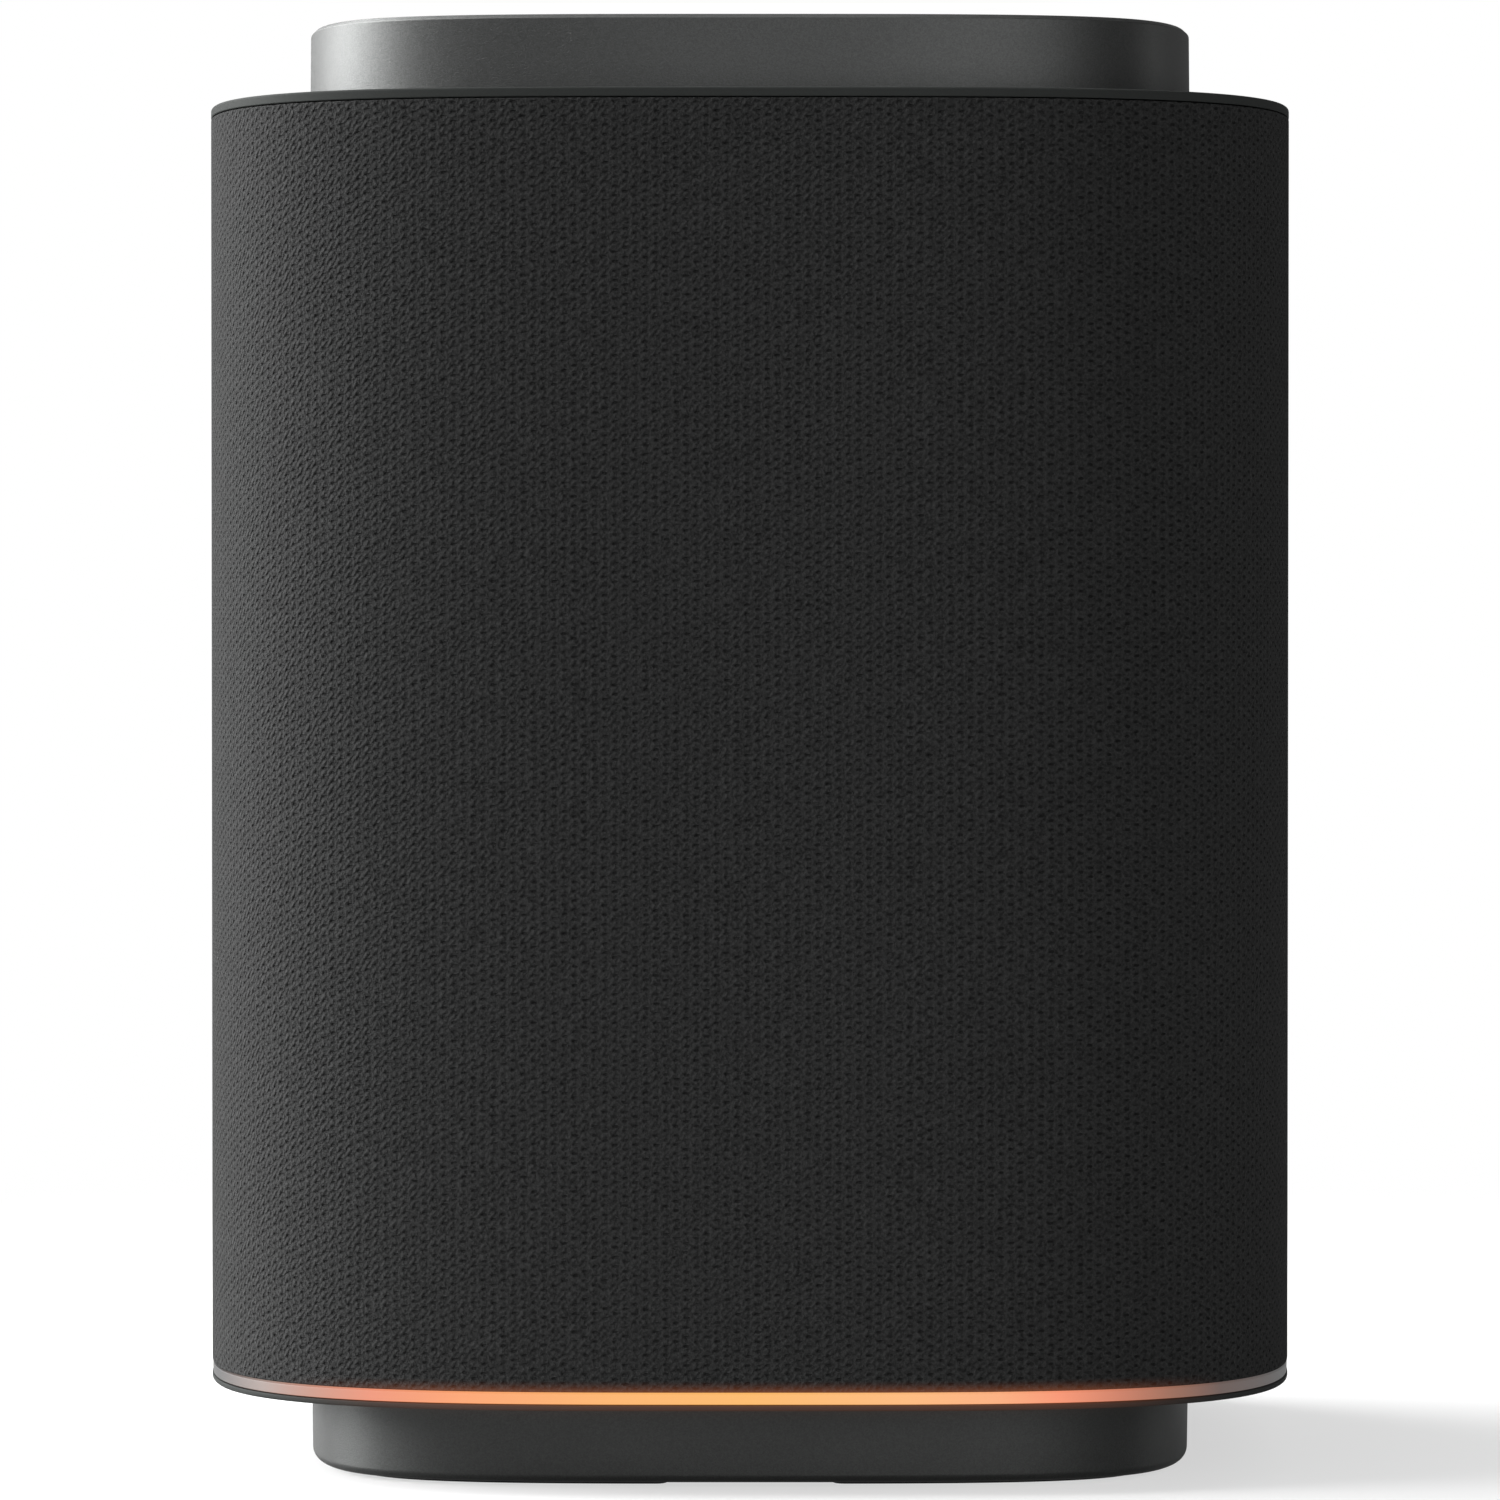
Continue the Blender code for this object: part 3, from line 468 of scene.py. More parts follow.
# ---------------- materials
class Finish:
    """A node material under construction."""

    def __init__(self, name, colour, roughness, metallic=0.0):
        self.material = bpy.data.materials.new(name)
        self.material.use_nodes = True
        self.tree = self.material.node_tree
        self.shader = self.tree.nodes["Principled BSDF"]
        self.set("Base Color", (*colour, 1.0))
        self.set("Roughness", roughness)
        self.set("Metallic", metallic)
        self.colour = tuple(colour)
        self.coordinates = self.node("ShaderNodeTexCoord").outputs["Object"]

    def node(self, kind, **settings):
        """A new node with its settings."""
        made = self.tree.nodes.new(kind)
        for name, value in settings.items():
            setattr(made, name, value)
        return made

    def set(self, socket, value):
        """Set a constant on the shader."""
        self.shader.inputs[socket].default_value = value

    def feed(self, target, value):
        """Link a socket, or set a constant."""
        if isinstance(value, bpy.types.NodeSocket):
            self.tree.links.new(value, target)
        else:
            target.default_value = value

    def math(self, operation, *values, clamp=False):
        """One arithmetic step."""
        made = self.node("ShaderNodeMath", operation=operation, use_clamp=clamp)
        for target, value in zip(made.inputs, values):
            self.feed(target, value)
        return made.outputs[0]

    def between(self, value, low, high, to_low=0.0, to_high=1.0, smooth=True):
        """Map a range onto another, and stay inside it."""
        curve = "SMOOTHSTEP" if smooth else "LINEAR"
        made = self.node("ShaderNodeMapRange", interpolation_type=curve)
        self.feed(made.inputs["Value"], value)
        for socket, number in zip(RANGE_SOCKETS, (low, high, to_low, to_high)):
            made.inputs[socket].default_value = number
        return made.outputs["Result"]

    def noise(self, scale, detail=2.0, roughness=0.5, vector=None):
        """A noise pattern, from 0 to 1; the scale is per metre."""
        made = self.node("ShaderNodeTexNoise")
        self.tree.links.new(vector or self.coordinates, made.inputs["Vector"])
        made.inputs["Scale"].default_value = scale
        made.inputs["Detail"].default_value = detail
        made.inputs["Roughness"].default_value = roughness
        return made.outputs["Fac"]

    def axes(self, vector=None):
        """The three parts of a coordinate."""
        made = self.node("ShaderNodeSeparateXYZ")
        self.tree.links.new(vector or self.coordinates, made.inputs[0])
        return made.outputs

    def tint(self, factor, dark, light):
        """A colour between two shades of the base colour."""
        made = self.node("ShaderNodeMix", data_type="RGBA")
        self.feed(made.inputs[0], factor)
        made.inputs[6].default_value = (*[part * dark for part in self.colour], 1.0)
        made.inputs[7].default_value = (*[min(1.0, part * light) for part in self.colour], 1.0)
        return made.outputs[2]

    def use(self, socket, value):
        """Drive a socket of the shader with a pattern."""
        self.tree.links.new(value, self.shader.inputs[socket])

    def bump(self, height, distance_mm):
        """Relief from a pattern."""
        made = self.node("ShaderNodeBump")
        made.inputs["Strength"].default_value = 1.0
        made.inputs["Distance"].default_value = distance_mm * MM
        self.tree.links.new(height, made.inputs["Height"])
        return made.outputs["Normal"]


def moulded(name, colour, roughness, grain_mm=0.25, depth_mm=0.006, gloss=0.5):
    """Moulded material: a fine grain, with slight mottling."""
    finish = Finish(name, colour, roughness)
    grain = finish.noise(1.0 / (grain_mm * MM), 3.0, 0.6)
    marks = finish.noise(300.0, 4.0, 0.7)
    finish.use("Base Color", finish.tint(finish.between(grain, 0.3, 0.7), 0.93, 1.07))
    finish.use("Roughness", finish.between(marks, 0.25, 0.75, roughness - 0.02, roughness + 0.02))
    finish.use("Normal", finish.bump(grain, depth_mm))
    finish.set("Specular IOR Level", gloss)
    return finish


def sparkle_paint(name, colour, roughness, edge):
    """Satin metallic paint with a fine sparkle; edge is its brightness at a glancing angle."""
    finish = Finish(name, colour, roughness, 1.0)
    flakes = finish.node("ShaderNodeTexVoronoi")
    finish.tree.links.new(finish.coordinates, flakes.inputs["Vector"])
    flakes.inputs["Scale"].default_value = 7000.0
    flake = finish.axes(flakes.outputs["Color"])[0]
    drift = finish.noise(2600.0, 2.0, 0.5)
    weak = finish.math("MULTIPLY", drift, 0.4)
    mixed = finish.math("ADD", finish.math("MULTIPLY", flake, 0.6), weak)
    finish.use("Base Color", finish.tint(mixed, 0.82, 1.18))
    cloud = finish.noise(60.0, 3.0, 0.5)
    finish.use("Roughness", finish.between(cloud, 0.3, 0.7, roughness - 0.015, roughness + 0.015))
    finish.use("Normal", finish.bump(mixed, 0.018))
    finish.set("Specular Tint", (edge, edge, edge, 1.0))
    return finish


def brushed(name, colour, roughness):
    """Bare metal with fine drawn lines."""
    finish = Finish(name, colour, roughness, 1.0)
    mapping = finish.node("ShaderNodeMapping")
    mapping.inputs["Scale"].default_value = (1.0, 1.0, 40.0)
    finish.tree.links.new(finish.coordinates, mapping.inputs["Vector"])
    lines = finish.noise(160.0, 5.0, 0.65, mapping.outputs["Vector"])
    finish.use("Base Color", finish.tint(lines, 0.85, 1.1))
    finish.use("Roughness", finish.between(lines, 0.3, 0.7, roughness - 0.06, roughness + 0.08))
    finish.use("Normal", finish.bump(lines, 0.003))
    return finish


def circuit_board():
    """Green laminate with copper tracks under the lacquer."""
    finish = Finish("circuit_board", (0.015, 0.085, 0.04), 0.35)
    tracks = finish.node("ShaderNodeTexBrick")
    finish.tree.links.new(finish.coordinates, tracks.inputs["Vector"])
    tracks.inputs["Scale"].default_value = 260.0
    tracks.inputs["Mortar Size"].default_value = 0.06
    tracks.inputs["Color1"].default_value = (0.012, 0.07, 0.034, 1.0)
    tracks.inputs["Color2"].default_value = (0.016, 0.09, 0.042, 1.0)
    tracks.inputs["Mortar"].default_value = (0.03, 0.15, 0.06, 1.0)
    finish.use("Base Color", tracks.outputs["Color"])
    finish.use("Roughness", finish.between(finish.noise(700.0), 0.3, 0.7, 0.3, 0.42))
    finish.use("Normal", finish.bump(tracks.outputs["Fac"], 0.03))
    return finish


def woven(name, colour, roughness, thread_mm):
    """Plain woven cloth, for the parts inside."""
    finish = Finish(name, colour, roughness)
    x, y, z = finish.axes()
    turns = FULL_TURN / (thread_mm * MM)
    across = finish.math("SINE", finish.math("MULTIPLY", finish.math("ADD", x, y), turns))
    down = finish.math("SINE", finish.math("MULTIPLY", z, turns))
    weave = finish.math("MULTIPLY_ADD", finish.math("MULTIPLY", across, down), 0.5, 0.5)
    finish.use("Base Color", finish.tint(weave, 0.6, 1.2))
    finish.use("Roughness", finish.between(weave, 0.0, 1.0, roughness - 0.08, roughness))
    finish.use("Normal", finish.bump(weave, 0.05))
    return finish


# The light's colours from left to right. Places are distances from the middle.
GLOW_REACH_MM = 64.0
GLOW_STOPS = (
    (-62.0, (0.06, 0.06, 0.06)),
    (-56.0, (0.35, 0.26, 0.23)),
    (-50.0, (0.54, 0.26, 0.19)),
    (-43.0, (0.82, 0.28, 0.17)),
    (-33.0, (0.95, 0.36, 0.16)),
    (-16.0, (0.96, 0.45, 0.15)),
    (0.0, (0.96, 0.48, 0.14)),
    (18.0, (0.96, 0.48, 0.20)),
    (28.0, (0.95, 0.42, 0.21)),
    (35.0, (0.92, 0.30, 0.17)),
    (42.0, (0.60, 0.21, 0.13)),
    (48.0, (0.33, 0.15, 0.10)),
    (54.0, (0.14, 0.10, 0.09)),
    (62.0, (0.11, 0.11, 0.11)),
)


def glow_ramp(finish, across):
    """Colour of the light along the front, from left to right."""
    ramp = finish.node("ShaderNodeValToRGB")
    finish.tree.links.new(across, ramp.inputs["Fac"])
    glow = colours().glow
    elements = ramp.color_ramp.elements
    while len(elements) < len(GLOW_STOPS):
        elements.new(0.5)
    for element, (position, colour) in zip(elements, GLOW_STOPS):
        element.position = 0.5 + 0.5 * position / GLOW_REACH_MM
        element.color = (*[part * tint for part, tint in zip(colour, glow)], 1.0)
    return ramp.outputs["Color"]


def front_position(finish):
    """How far across the front, 0 at the left and 1 at the right; 1 for all of the rear."""
    x, y, z = finish.axes()
    across = finish.math("MULTIPLY_ADD", x, 0.5 / (GLOW_REACH_MM * MM), 0.5)
    rear = finish.math("GREATER_THAN", y, 0.0)
    return finish.math("MAXIMUM", across, rear, clamp=True), z


def ring_light():
    """Translucent ring, lit orange across the front."""
    finish = Finish("light_ring_diffuser", (0.02, 0.02, 0.02), 0.6)
    across, _ = front_position(finish)
    haze = finish.noise(500.0, 2.0)
    finish.use("Base Color", finish.tint(haze, 0.9, 1.1))
    finish.use("Normal", finish.bump(haze, 0.004))
    finish.use("Emission Color", glow_ramp(finish, across))
    finish.set("Emission Strength", 1.0)
    finish.set("Specular IOR Level", 0.2)
    return finish


def spill(finish, edge_z, reach_mm, strength):
    """Orange light that spills over the edge next to the ring."""
    across, z = front_position(finish)
    away = finish.math("ABSOLUTE", finish.math("SUBTRACT", z, edge_z))
    near = finish.math("POWER", finish.between(away, 0.0, reach_mm * MM, 1.0, 0.0, False), 2.2)
    sideways = finish.math("ABSOLUTE", finish.math("MULTIPLY_ADD", across, 2.0, -1.0))
    inside = finish.between(sideways, 0.5, 0.86, 1.0, 0.0)
    amount = finish.math("MULTIPLY", finish.math("MULTIPLY", near, inside), strength)
    finish.set("Emission Color", (1.0, 0.27, 0.09, 1.0))
    finish.use("Emission Strength", amount)


def knit_finish():
    """Knitted cloth: staggered holes between slanting strands, uneven as yarn is."""
    finish = Finish("knit_cloth", colours().cloth, 0.9)
    stitches = finish.node("ShaderNodeAttribute", attribute_name="stitches")
    u, v, _ = finish.axes(stitches.outputs["Vector"])

    # The columns and rows wander a little.
    u = finish.math("MULTIPLY_ADD", finish.noise(330.0), 0.45, u)
    v = finish.math("MULTIPLY_ADD", finish.noise(290.0), 0.45, v)

    # Holes, some of them half closed.
    columns = finish.math("COSINE", finish.math("MULTIPLY", u, math.pi))
    courses = finish.math("COSINE", finish.math("MULTIPLY", v, FULL_TURN))
    lattice = finish.math("MULTIPLY", columns, courses)
    uneven = finish.noise(900.0, 1.0)
    hole = finish.between(lattice, 0.45, 0.95)
    hole = finish.math("MULTIPLY", hole, finish.between(uneven, 0.35, 0.62, 0.5, 1.0))

    # Slanting strands, leaning more one way here and the other way there.
    slope = finish.math("MULTIPLY", u, 1.5)
    rising = finish.math("MULTIPLY", finish.math("SUBTRACT", slope, v), FULL_TURN)
    falling = finish.math("MULTIPLY", finish.math("ADD", slope, v), FULL_TURN)
    lean = finish.between(finish.noise(500.0, 1.0), 0.38, 0.62, 0.3, 1.0)
    other = finish.math("SUBTRACT", 1.1, lean)
    rising = finish.math("MULTIPLY", finish.math("SINE", rising), lean)
    falling = finish.math("MULTIPLY", finish.math("SINE", falling), other)
    strands = finish.math("ADD", rising, falling)

    yarn = finish.noise(2800.0, 2.5, 0.6)
    patches = finish.noise(850.0, 2.0, 0.6)
    relief = finish.math("MULTIPLY_ADD", lattice, -0.22, 0.5)
    relief = finish.math("MULTIPLY_ADD", strands, 0.19, relief)
    relief = finish.math("MULTIPLY_ADD", yarn, 1.45, relief)
    relief = finish.math("MULTIPLY_ADD", hole, -1.0, relief)
    # Colour: lighter with the yarn noise that also raises the relief and on the strands, darker in
    # the holes. This is painted highlight and shade of the relief; the patches add random tone.
    tone_and_relief_shade = finish.math("MULTIPLY_ADD", yarn, 1.4, -0.34)
    tone_and_relief_shade = finish.math("MULTIPLY_ADD", strands, 0.05, tone_and_relief_shade)
    tone_and_relief_shade = finish.math("MULTIPLY_ADD", patches, 0.3, tone_and_relief_shade)
    # Painted shade in the holes.
    tone_and_relief_shade = finish.math("MULTIPLY", tone_and_relief_shade, finish.math("MULTIPLY_ADD", hole, -0.75, 1.0))
    tone_and_relief_shade = finish.math("MAXIMUM", tone_and_relief_shade, 0.0, clamp=True)
    finish.use("Base Color", finish.tint(tone_and_relief_shade, 0.2, 1.9))
    finish.use("Roughness", finish.between(yarn, 0.2, 0.8, 0.82, 0.98))
    finish.use("Normal", finish.bump(relief, 0.3))
    finish.set("Sheen Weight", 0.01)
    finish.set("Sheen Roughness", 0.5)
    finish.set("Specular IOR Level", 0.05)
    spill(finish, SLEEVE_FOOT_MM * MM, 1.5, 0.16)
    return finish


# ---------------- the body
def knit_sleeve():
    """The cloth tube: a closed sheet that turns in over the frame at both ends."""
    thickness = 0.9
    corners = (
        (thickness, SLEEVE_FOOT_MM, 0.12),
        (0.0, SLEEVE_FOOT_MM, 0.2),
        (0.0, SLEEVE_HEAD_MM, 0.16),
        (thickness, SLEEVE_HEAD_MM, 0.12),
    )
    sleeve = loft("knitted_sleeve", soften(corners, 4, True), True)
    write_stitches(sleeve)
    return sleeve


def write_stitches(sleeve):
    """Number the knit: columns round the body and rows up it, as a face-corner attribute."""
    count = sizes().ring_points
    lengths = arc_lengths(plan_turns(count))
    pairs = round(lengths[-1] / (2.0 * sizes().column_width))
    column = lengths[-1] / (2.0 * pairs)
    mesh = sleeve.data
    stitches = mesh.attributes.new("stitches", "FLOAT_VECTOR", "CORNER")
    for polygon in mesh.polygons:
        steps = [mesh.loops[i].vertex_index % count for i in polygon.loop_indices]
        wraps = max(steps) - min(steps) > 1
        for loop_index, step in zip(polygon.loop_indices, steps):
            if wraps and step == 0:
                step = count
            z = mesh.vertices[mesh.loops[loop_index].vertex_index].co.z
            place = (lengths[step] / column, z / sizes().row_height, 0.0)
            stitches.data[loop_index].vector = place


class SPEAKER_OT_sleeve(bpy.types.Operator):
    """Knitted sleeve round the body"""

    bl_idname = "speaker.sleeve"
    bl_label = "Knitted sleeve"

    def execute(self, context):
        sleeve = knit_sleeve()
        finish_piece(sleeve, knit_finish().material, HOUSING, ["fabric_sleeve"])
        return {"FINISHED"}


def rim_plastic(name):
    """Dark matt plastic of the rims."""
    return moulded(name, colours().rim, roughness=0.6, grain_mm=0.18, depth_mm=0.003, gloss=0.02)


class SPEAKER_OT_rims(bpy.types.Operator):
    """Dark rim plates above and below the cloth"""

    bl_idname = "speaker.rims"
    bl_label = "Rims"

    def execute(self, context):
        neck = 4.2
        corners = (
            (neck, TOP_RIM_LOW.z / MM, 0.0),
            (neck, RIM_EDGE_MM, 0.1),
            (0.0, RIM_EDGE_MM, 0.14),
            (0.0, RIM_TOP_MM, 0.26),
            (14.0, RIM_TOP_MM, 0.0),
        )
        upper = loft("top_rim_plate", soften(corners, 4))
        slot = stacked(
            "ribbon_slot_tool",
            rounded_rectangle(7.5, 1.4, 0.6, 4),
            ((0.0, -10.0), (0.0, 10.0)),
            moved(0.0, 38.0, RIM_TOP_MM),
        )
        shape(upper, [slot])
        upper_finish = rim_plastic("rim_plastic")
        finish_piece(upper, upper_finish.material, HOUSING, ["top_rim"])

        inner = 15.0
        seat = 9.9
        corners = (
            (inner, 11.6, 0.0),
            (inner, LOWER_RIM_LOW_MM, 0.2),
            (0.0, LOWER_RIM_LOW_MM, 0.24),
            (0.0, LOWER_RIM_EDGE_MM, 0.1),
            (seat, LOWER_RIM_EDGE_MM, 0.1),
            (seat, LOWER_RIM_DECK_MM, 0.3),
            (14.0, LOWER_RIM_DECK_MM, 0.0),
        )
        lower = loft("lower_rim_plate", soften(corners, 4))
        post = ((0.0, 2.9), (3.6, 2.9), (3.6, 12.6), (0.0, 12.6))
        hole = ((0.0, 0.0), (1.5, 0.0), (1.5, 10.6), (0.0, 10.6))
        posts = []
        holes = []
        sides = (-SCREW_SPREAD_MM, SCREW_SPREAD_MM)
        for number, (x, y) in enumerate([(x, y) for x in sides for y in sides]):
            posts.append(lathe(f"post_tool_{number}", post, 32, place=moved(x, y)))
            holes.append(lathe(f"hole_tool_{number}", hole, 24, place=moved(x, y)))
        shape(lower, posts, "UNION")
        shape(lower, holes)
        lower_finish = rim_plastic("lower_rim_plastic")
        spill(lower_finish, LOWER_RIM_EDGE_MM * MM, 2.2, 0.07)
        finish_piece(lower, lower_finish.material, HOUSING, ["lower_chassis"])
        return {"FINISHED"}


class SPEAKER_OT_light_ring(bpy.types.Operator):
    """Thin translucent ring that glows below the cloth"""

    bl_idname = "speaker.light_ring"
    bl_label = "Light ring"

    def execute(self, context):
        inner = 6.0
        outer = 0.08
        corners = (
            (inner, GLOW_LOW_MM, 0.1),
            (outer, GLOW_LOW_MM, 0.1),
            (outer, GLOW_HIGH_MM, 0.1),
            (inner, GLOW_HIGH_MM, 0.1),
        )
        ring = loft("glow_ring", soften(corners, 4, True), True)
        finish_piece(ring, ring_light().material, HOUSING, ["light_ring"])
        return {"FINISHED"}


# ---------------- cap and controls
class SPEAKER_OT_cap(bpy.types.Operator):
    """Raised painted cap"""

    bl_idname = "speaker.cap"
    bl_label = "Cap"

    def execute(self, context):
        inset = sizes().cap_inset / MM
        radius = sizes().edge_softness / MM
        low = CAP_LOW.z / MM
        lip = 18.0
        recess_floor = CAP_MM - 2.3
        corners = (
            (inset - 0.08, low, 0.1),
            (inset, CAP_MM - 0.45, radius),
            (inset + 0.5, CAP_MM, radius),
            (lip, CAP_MM, 0.3),
            (lip, recess_floor, 0.1),
            (14.2, recess_floor, 0.4),
            (14.0, low, 0.1),
        )
        cap = loft("cap_shell", soften(corners, 7, True), True)
        paint = sparkle_paint("cap_paint", colours().paint, 0.5, 0.85)
        finish_piece(cap, paint.material, HOUSING, ["top_cap"])
        return {"FINISHED"}


BUTTON_CENTRES = {
    "action": (0.0, -19.0),
    "volume_up": (19.0, 0.0),
    "mute": (0.0, 19.0),
    "volume_down": (-19.0, 0.0),
}
# The dish in a button, and the heights of its mark above the dish's floor.
DISH_DEPTH_MM = 0.25
MARK_FOOT_MM = -0.2
MARK_EDGE_MM = 0.04
MARK_TOP_MM = 0.07
MARK_BEVEL_MM = 0.03


def bar(name, half_long, half_wide, turn, place):
    """A small rounded bar."""
    return stacked(
        name,
        rounded_rectangle(half_long, half_wide, half_wide * 0.98, 5),
        ((0.0, MARK_FOOT_MM), (0.0, MARK_EDGE_MM), (MARK_BEVEL_MM, MARK_TOP_MM)),
        place @ Matrix.Rotation(turn, 4, "Z"),
    )


def hoop(name, outer, inner, place):
    """A small flat ring."""
    profile = (
        (inner, MARK_FOOT_MM),
        (outer, MARK_FOOT_MM),
        (outer, MARK_EDGE_MM),
        (outer - MARK_BEVEL_MM, MARK_TOP_MM),
        (inner + MARK_BEVEL_MM, MARK_TOP_MM),
        (inner, MARK_EDGE_MM),
    )
    return lathe(name, profile, 48, True, place)


def button_mark(key, place):
    """The raised mark on a button: plus, minus, ring, or crossed ring."""
    name = f"{key}_mark"
    if key == "action":
        return hoop(name, 1.9, 1.35, place)
    if key == "mute":
        slash = bar("slash_tool", 2.6, 0.26, QUARTER_TURN / 2, place)
        return shape(hoop(name, 2.1, 1.6, place), [slash], "UNION")
    mark = bar(name, 2.1, 0.3, 0.0, place)
    if key == "volume_up":
        shape(mark, [bar("upright_tool", 2.1, 0.3, QUARTER_TURN, place)], "UNION")
    return mark


class SPEAKER_OT_controls(bpy.types.Operator):
    """Control deck with its four buttons and microphone holes"""

    bl_idname = "speaker.controls"
    bl_label = "Controls"

    def execute(self, context):
        underside = 164.6
        flange = 165.9
        corners = (
            (20.0, 166.0, 0.0),
            (20.0, underside, 0.2),
            (14.6, underside, 0.2),
            (14.6, flange, 0.2),
            (18.3, flange, 0.1),
            (18.3, PANEL_TOP_MM, 0.3),
            (22.0, PANEL_TOP_MM, 0.0),
        )
        deck = loft("control_deck", soften(corners, 4))
        below = 160.0
        above = 170.0
        corners = (
            (0.0, below, 0.0),
            (7.0, below, 0.0),
            (7.0, PANEL_TOP_MM - 0.25, 0.2),
            (7.3, PANEL_TOP_MM + 0.05, 0.0),
            (7.3, above, 0.0),
            (0.0, above, 0.0),
        )
        well = soften(corners, 4)
        port = (
            (0.0, below),
            (0.6, below),
            (0.6, PANEL_TOP_MM - 0.12),
            (0.75, PANEL_TOP_MM + 0.03),
            (0.75, above),
            (0.0, above),
        )
        tools = []
        for key, (x, y) in BUTTON_CENTRES.items():
            tools.append(lathe(f"well_tool_{key}", well, 64, place=moved(x, y)))
        tools += four_turned("port_tool", port, 20, PORT_SPREAD_MM)
        shape(deck, tools)
        deck_finish = moulded("deck_plastic", (0.03, 0.031, 0.031), 0.62, 0.22, 0.005, 0.12)
        finish_piece(deck, deck_finish.material, HOUSING, ["control_panel"])

        grey = (0.045, 0.047, 0.046)
        button_finish = moulded("button_plastic_fine", grey, 0.55, 0.2, 0.004, 0.2)
        mark_finish = moulded("mark_ink", (0.55, 0.56, 0.56), 0.5, 0.15, 0.003)
        radius = 6.7
        skirt = 8.2
        stem = 2.0
        corners = (
            (0.0, -DISH_DEPTH_MM, 0.0),
            (3.2, -0.19, 2.0),
            (5.6, -0.03, 1.0),
            (radius, 0.0, 0.4),
            (radius, -2.65, 0.1),
            (skirt, -2.65, 0.2),
            (skirt, -3.85, 0.2),
            (stem, -4.95, 0.3),
            (stem, -5.15, 0.1),
            (0.0, -5.15, 0.0),
        )
        for key, (x, y) in BUTTON_CENTRES.items():
            place = moved(x, y, BUTTON_TOP_MM)
            node = f"{key}_button"
            button = lathe(f"{key}_key", soften(corners, 5), 72, place=place)
            finish_piece(button, button_finish.material, node, [node])
            mark = button_mark(key, place @ moved(z=-DISH_DEPTH_MM))
            finish_piece(mark, mark_finish.material, node)
        return {"FINISHED"}


# ---------------- base and feet
FOOT_NODES = ("foot_rear_right", "foot_rear_left", "foot_front_left", "foot_front_right")
# Half the gap between two feet, and how far in from the body's outline they stand.
FOOT_HALF_GAP_MM = 9.4
FOOT_OUTER_MM = 15.0
FOOT_INNER_MM = 23.0
FOOT_CORNER_MM = 1.5
GROOVE_PLAY_MM = 0.3


def foot_outline(quarter):
    """An outline function for a foot: a strip along a quarter of the plan, with round corners."""
    fine = 600
    first = QUARTER_TURN * quarter
    turns = [first + QUARTER_TURN * i / fine for i in range(fine + 1)]
    middle = (FOOT_OUTER_MM + FOOT_INNER_MM) / 2
    lengths = [length / MM for length in arc_lengths(turns, middle)]

    def turn_at(distance):
        i = min(max(bisect.bisect(lengths, distance), 1), fine)
        share = (distance - lengths[i - 1]) / (lengths[i] - lengths[i - 1])
        return turns[i - 1] + (turns[i] - turns[i - 1]) * share

    def outline(shrink):
        radius = FOOT_CORNER_MM - shrink
        near = FOOT_OUTER_MM + shrink
        far = FOOT_INNER_MM - shrink
        low = FOOT_HALF_GAP_MM + shrink + radius
        high = lengths[-1] - FOOT_HALF_GAP_MM - shrink - radius
        corners = (
            (high, near + radius, -QUARTER_TURN),
            (high, far - radius, 0.0),
            (low, far - radius, QUARTER_TURN),
            (low, near + radius, math.pi),
        )
        sides = {1: (high, low, far), 3: (low, high, near)}
        points = []
        steps = 6
        rungs = 40
        for number, (along, inset, begin) in enumerate(corners):
            for step in range(steps + 1):
                angle = begin + QUARTER_TURN * step / steps
                points.append((along + radius * math.cos(angle), inset + radius * math.sin(angle)))
            if number in sides:
                start, end, inset = sides[number]
                for rung in range(1, rungs):
                    points.append((start + (end - start) * rung / rungs, inset))
        return [plan_point(turn_at(along), inset) / MM for along, inset in points]

    return outline


class SPEAKER_OT_base(bpy.types.Operator):
    """Painted base with its foot pads and the mouth of the power inlet"""

    bl_idname = "speaker.base"
    bl_label = "Base and feet"

    def execute(self, context):
        low = BASE_LOW.z / MM
        wall = 14.0
        floor = 2.6
        corners = (
            (13.9, low, 0.0),
            (11.88, low, 1.9),
            (11.74, BASE_TOP_MM, 0.15),
            (wall, BASE_TOP_MM, 0.15),
            (wall, floor, 0.7),
            (18.0, floor, 0.0),
        )
        base = loft("base_dish", soften(corners, 6))
        tools = []
        levels = ((-GROOVE_PLAY_MM, -1.0), (-GROOVE_PLAY_MM, 1.6))
        for quarter in range(4):
            tools.append(stacked(f"groove_tool_{quarter}", foot_outline(quarter), levels))
        bore = ((0.0, -1.0), (3.3, -1.0), (3.3, 1.5), (1.6, 1.5), (1.6, 4.0), (0.0, 4.0))
        tools += four_turned("bore_tool", bore, 40, SCREW_SPREAD_MM)
        inlet_z = (INLET_LOW.z + INLET_HIGH.z) / 2 / MM
        to_rear = Matrix.Rotation(-QUARTER_TURN, 4, "X")
        place = moved(0.0, INLET_HIGH.y / MM, inlet_z) @ to_rear
        mouth = rounded_rectangle(4.77, 1.88, 1.87, 8)
        levels = ((0.0, -8.0), (0.0, 0.35), (-0.35, 0.9), (-0.35, 8.0))
        tools.append(stacked("mouth_tool", mouth, levels, place))
        shape(base, tools)
        # Darker than the cap's paint, as painted shade under the body's overhang.
        paint = sparkle_paint("base_paint", colours().base_paint, 0.5, 1.0)
        spill(paint, BASE_TOP_MM * MM, 2.4, 0.02)
        finish_piece(base, paint.material, HOUSING, ["base_shell"])

        rubber = moulded("foot_rubber", colours().rubber, 0.75, 0.3, 0.02)
        levels = ((0.32, 0.0), (0.14, 0.05), (0.03, 0.17), (0.0, 0.32), (0.0, 1.3))
        for quarter, node in enumerate(FOOT_NODES):
            pad = stacked(f"{node}_pad", foot_outline(quarter), levels)
            finish_piece(pad, rubber.material, HOUSING, [node])
        return {"FINISHED"}


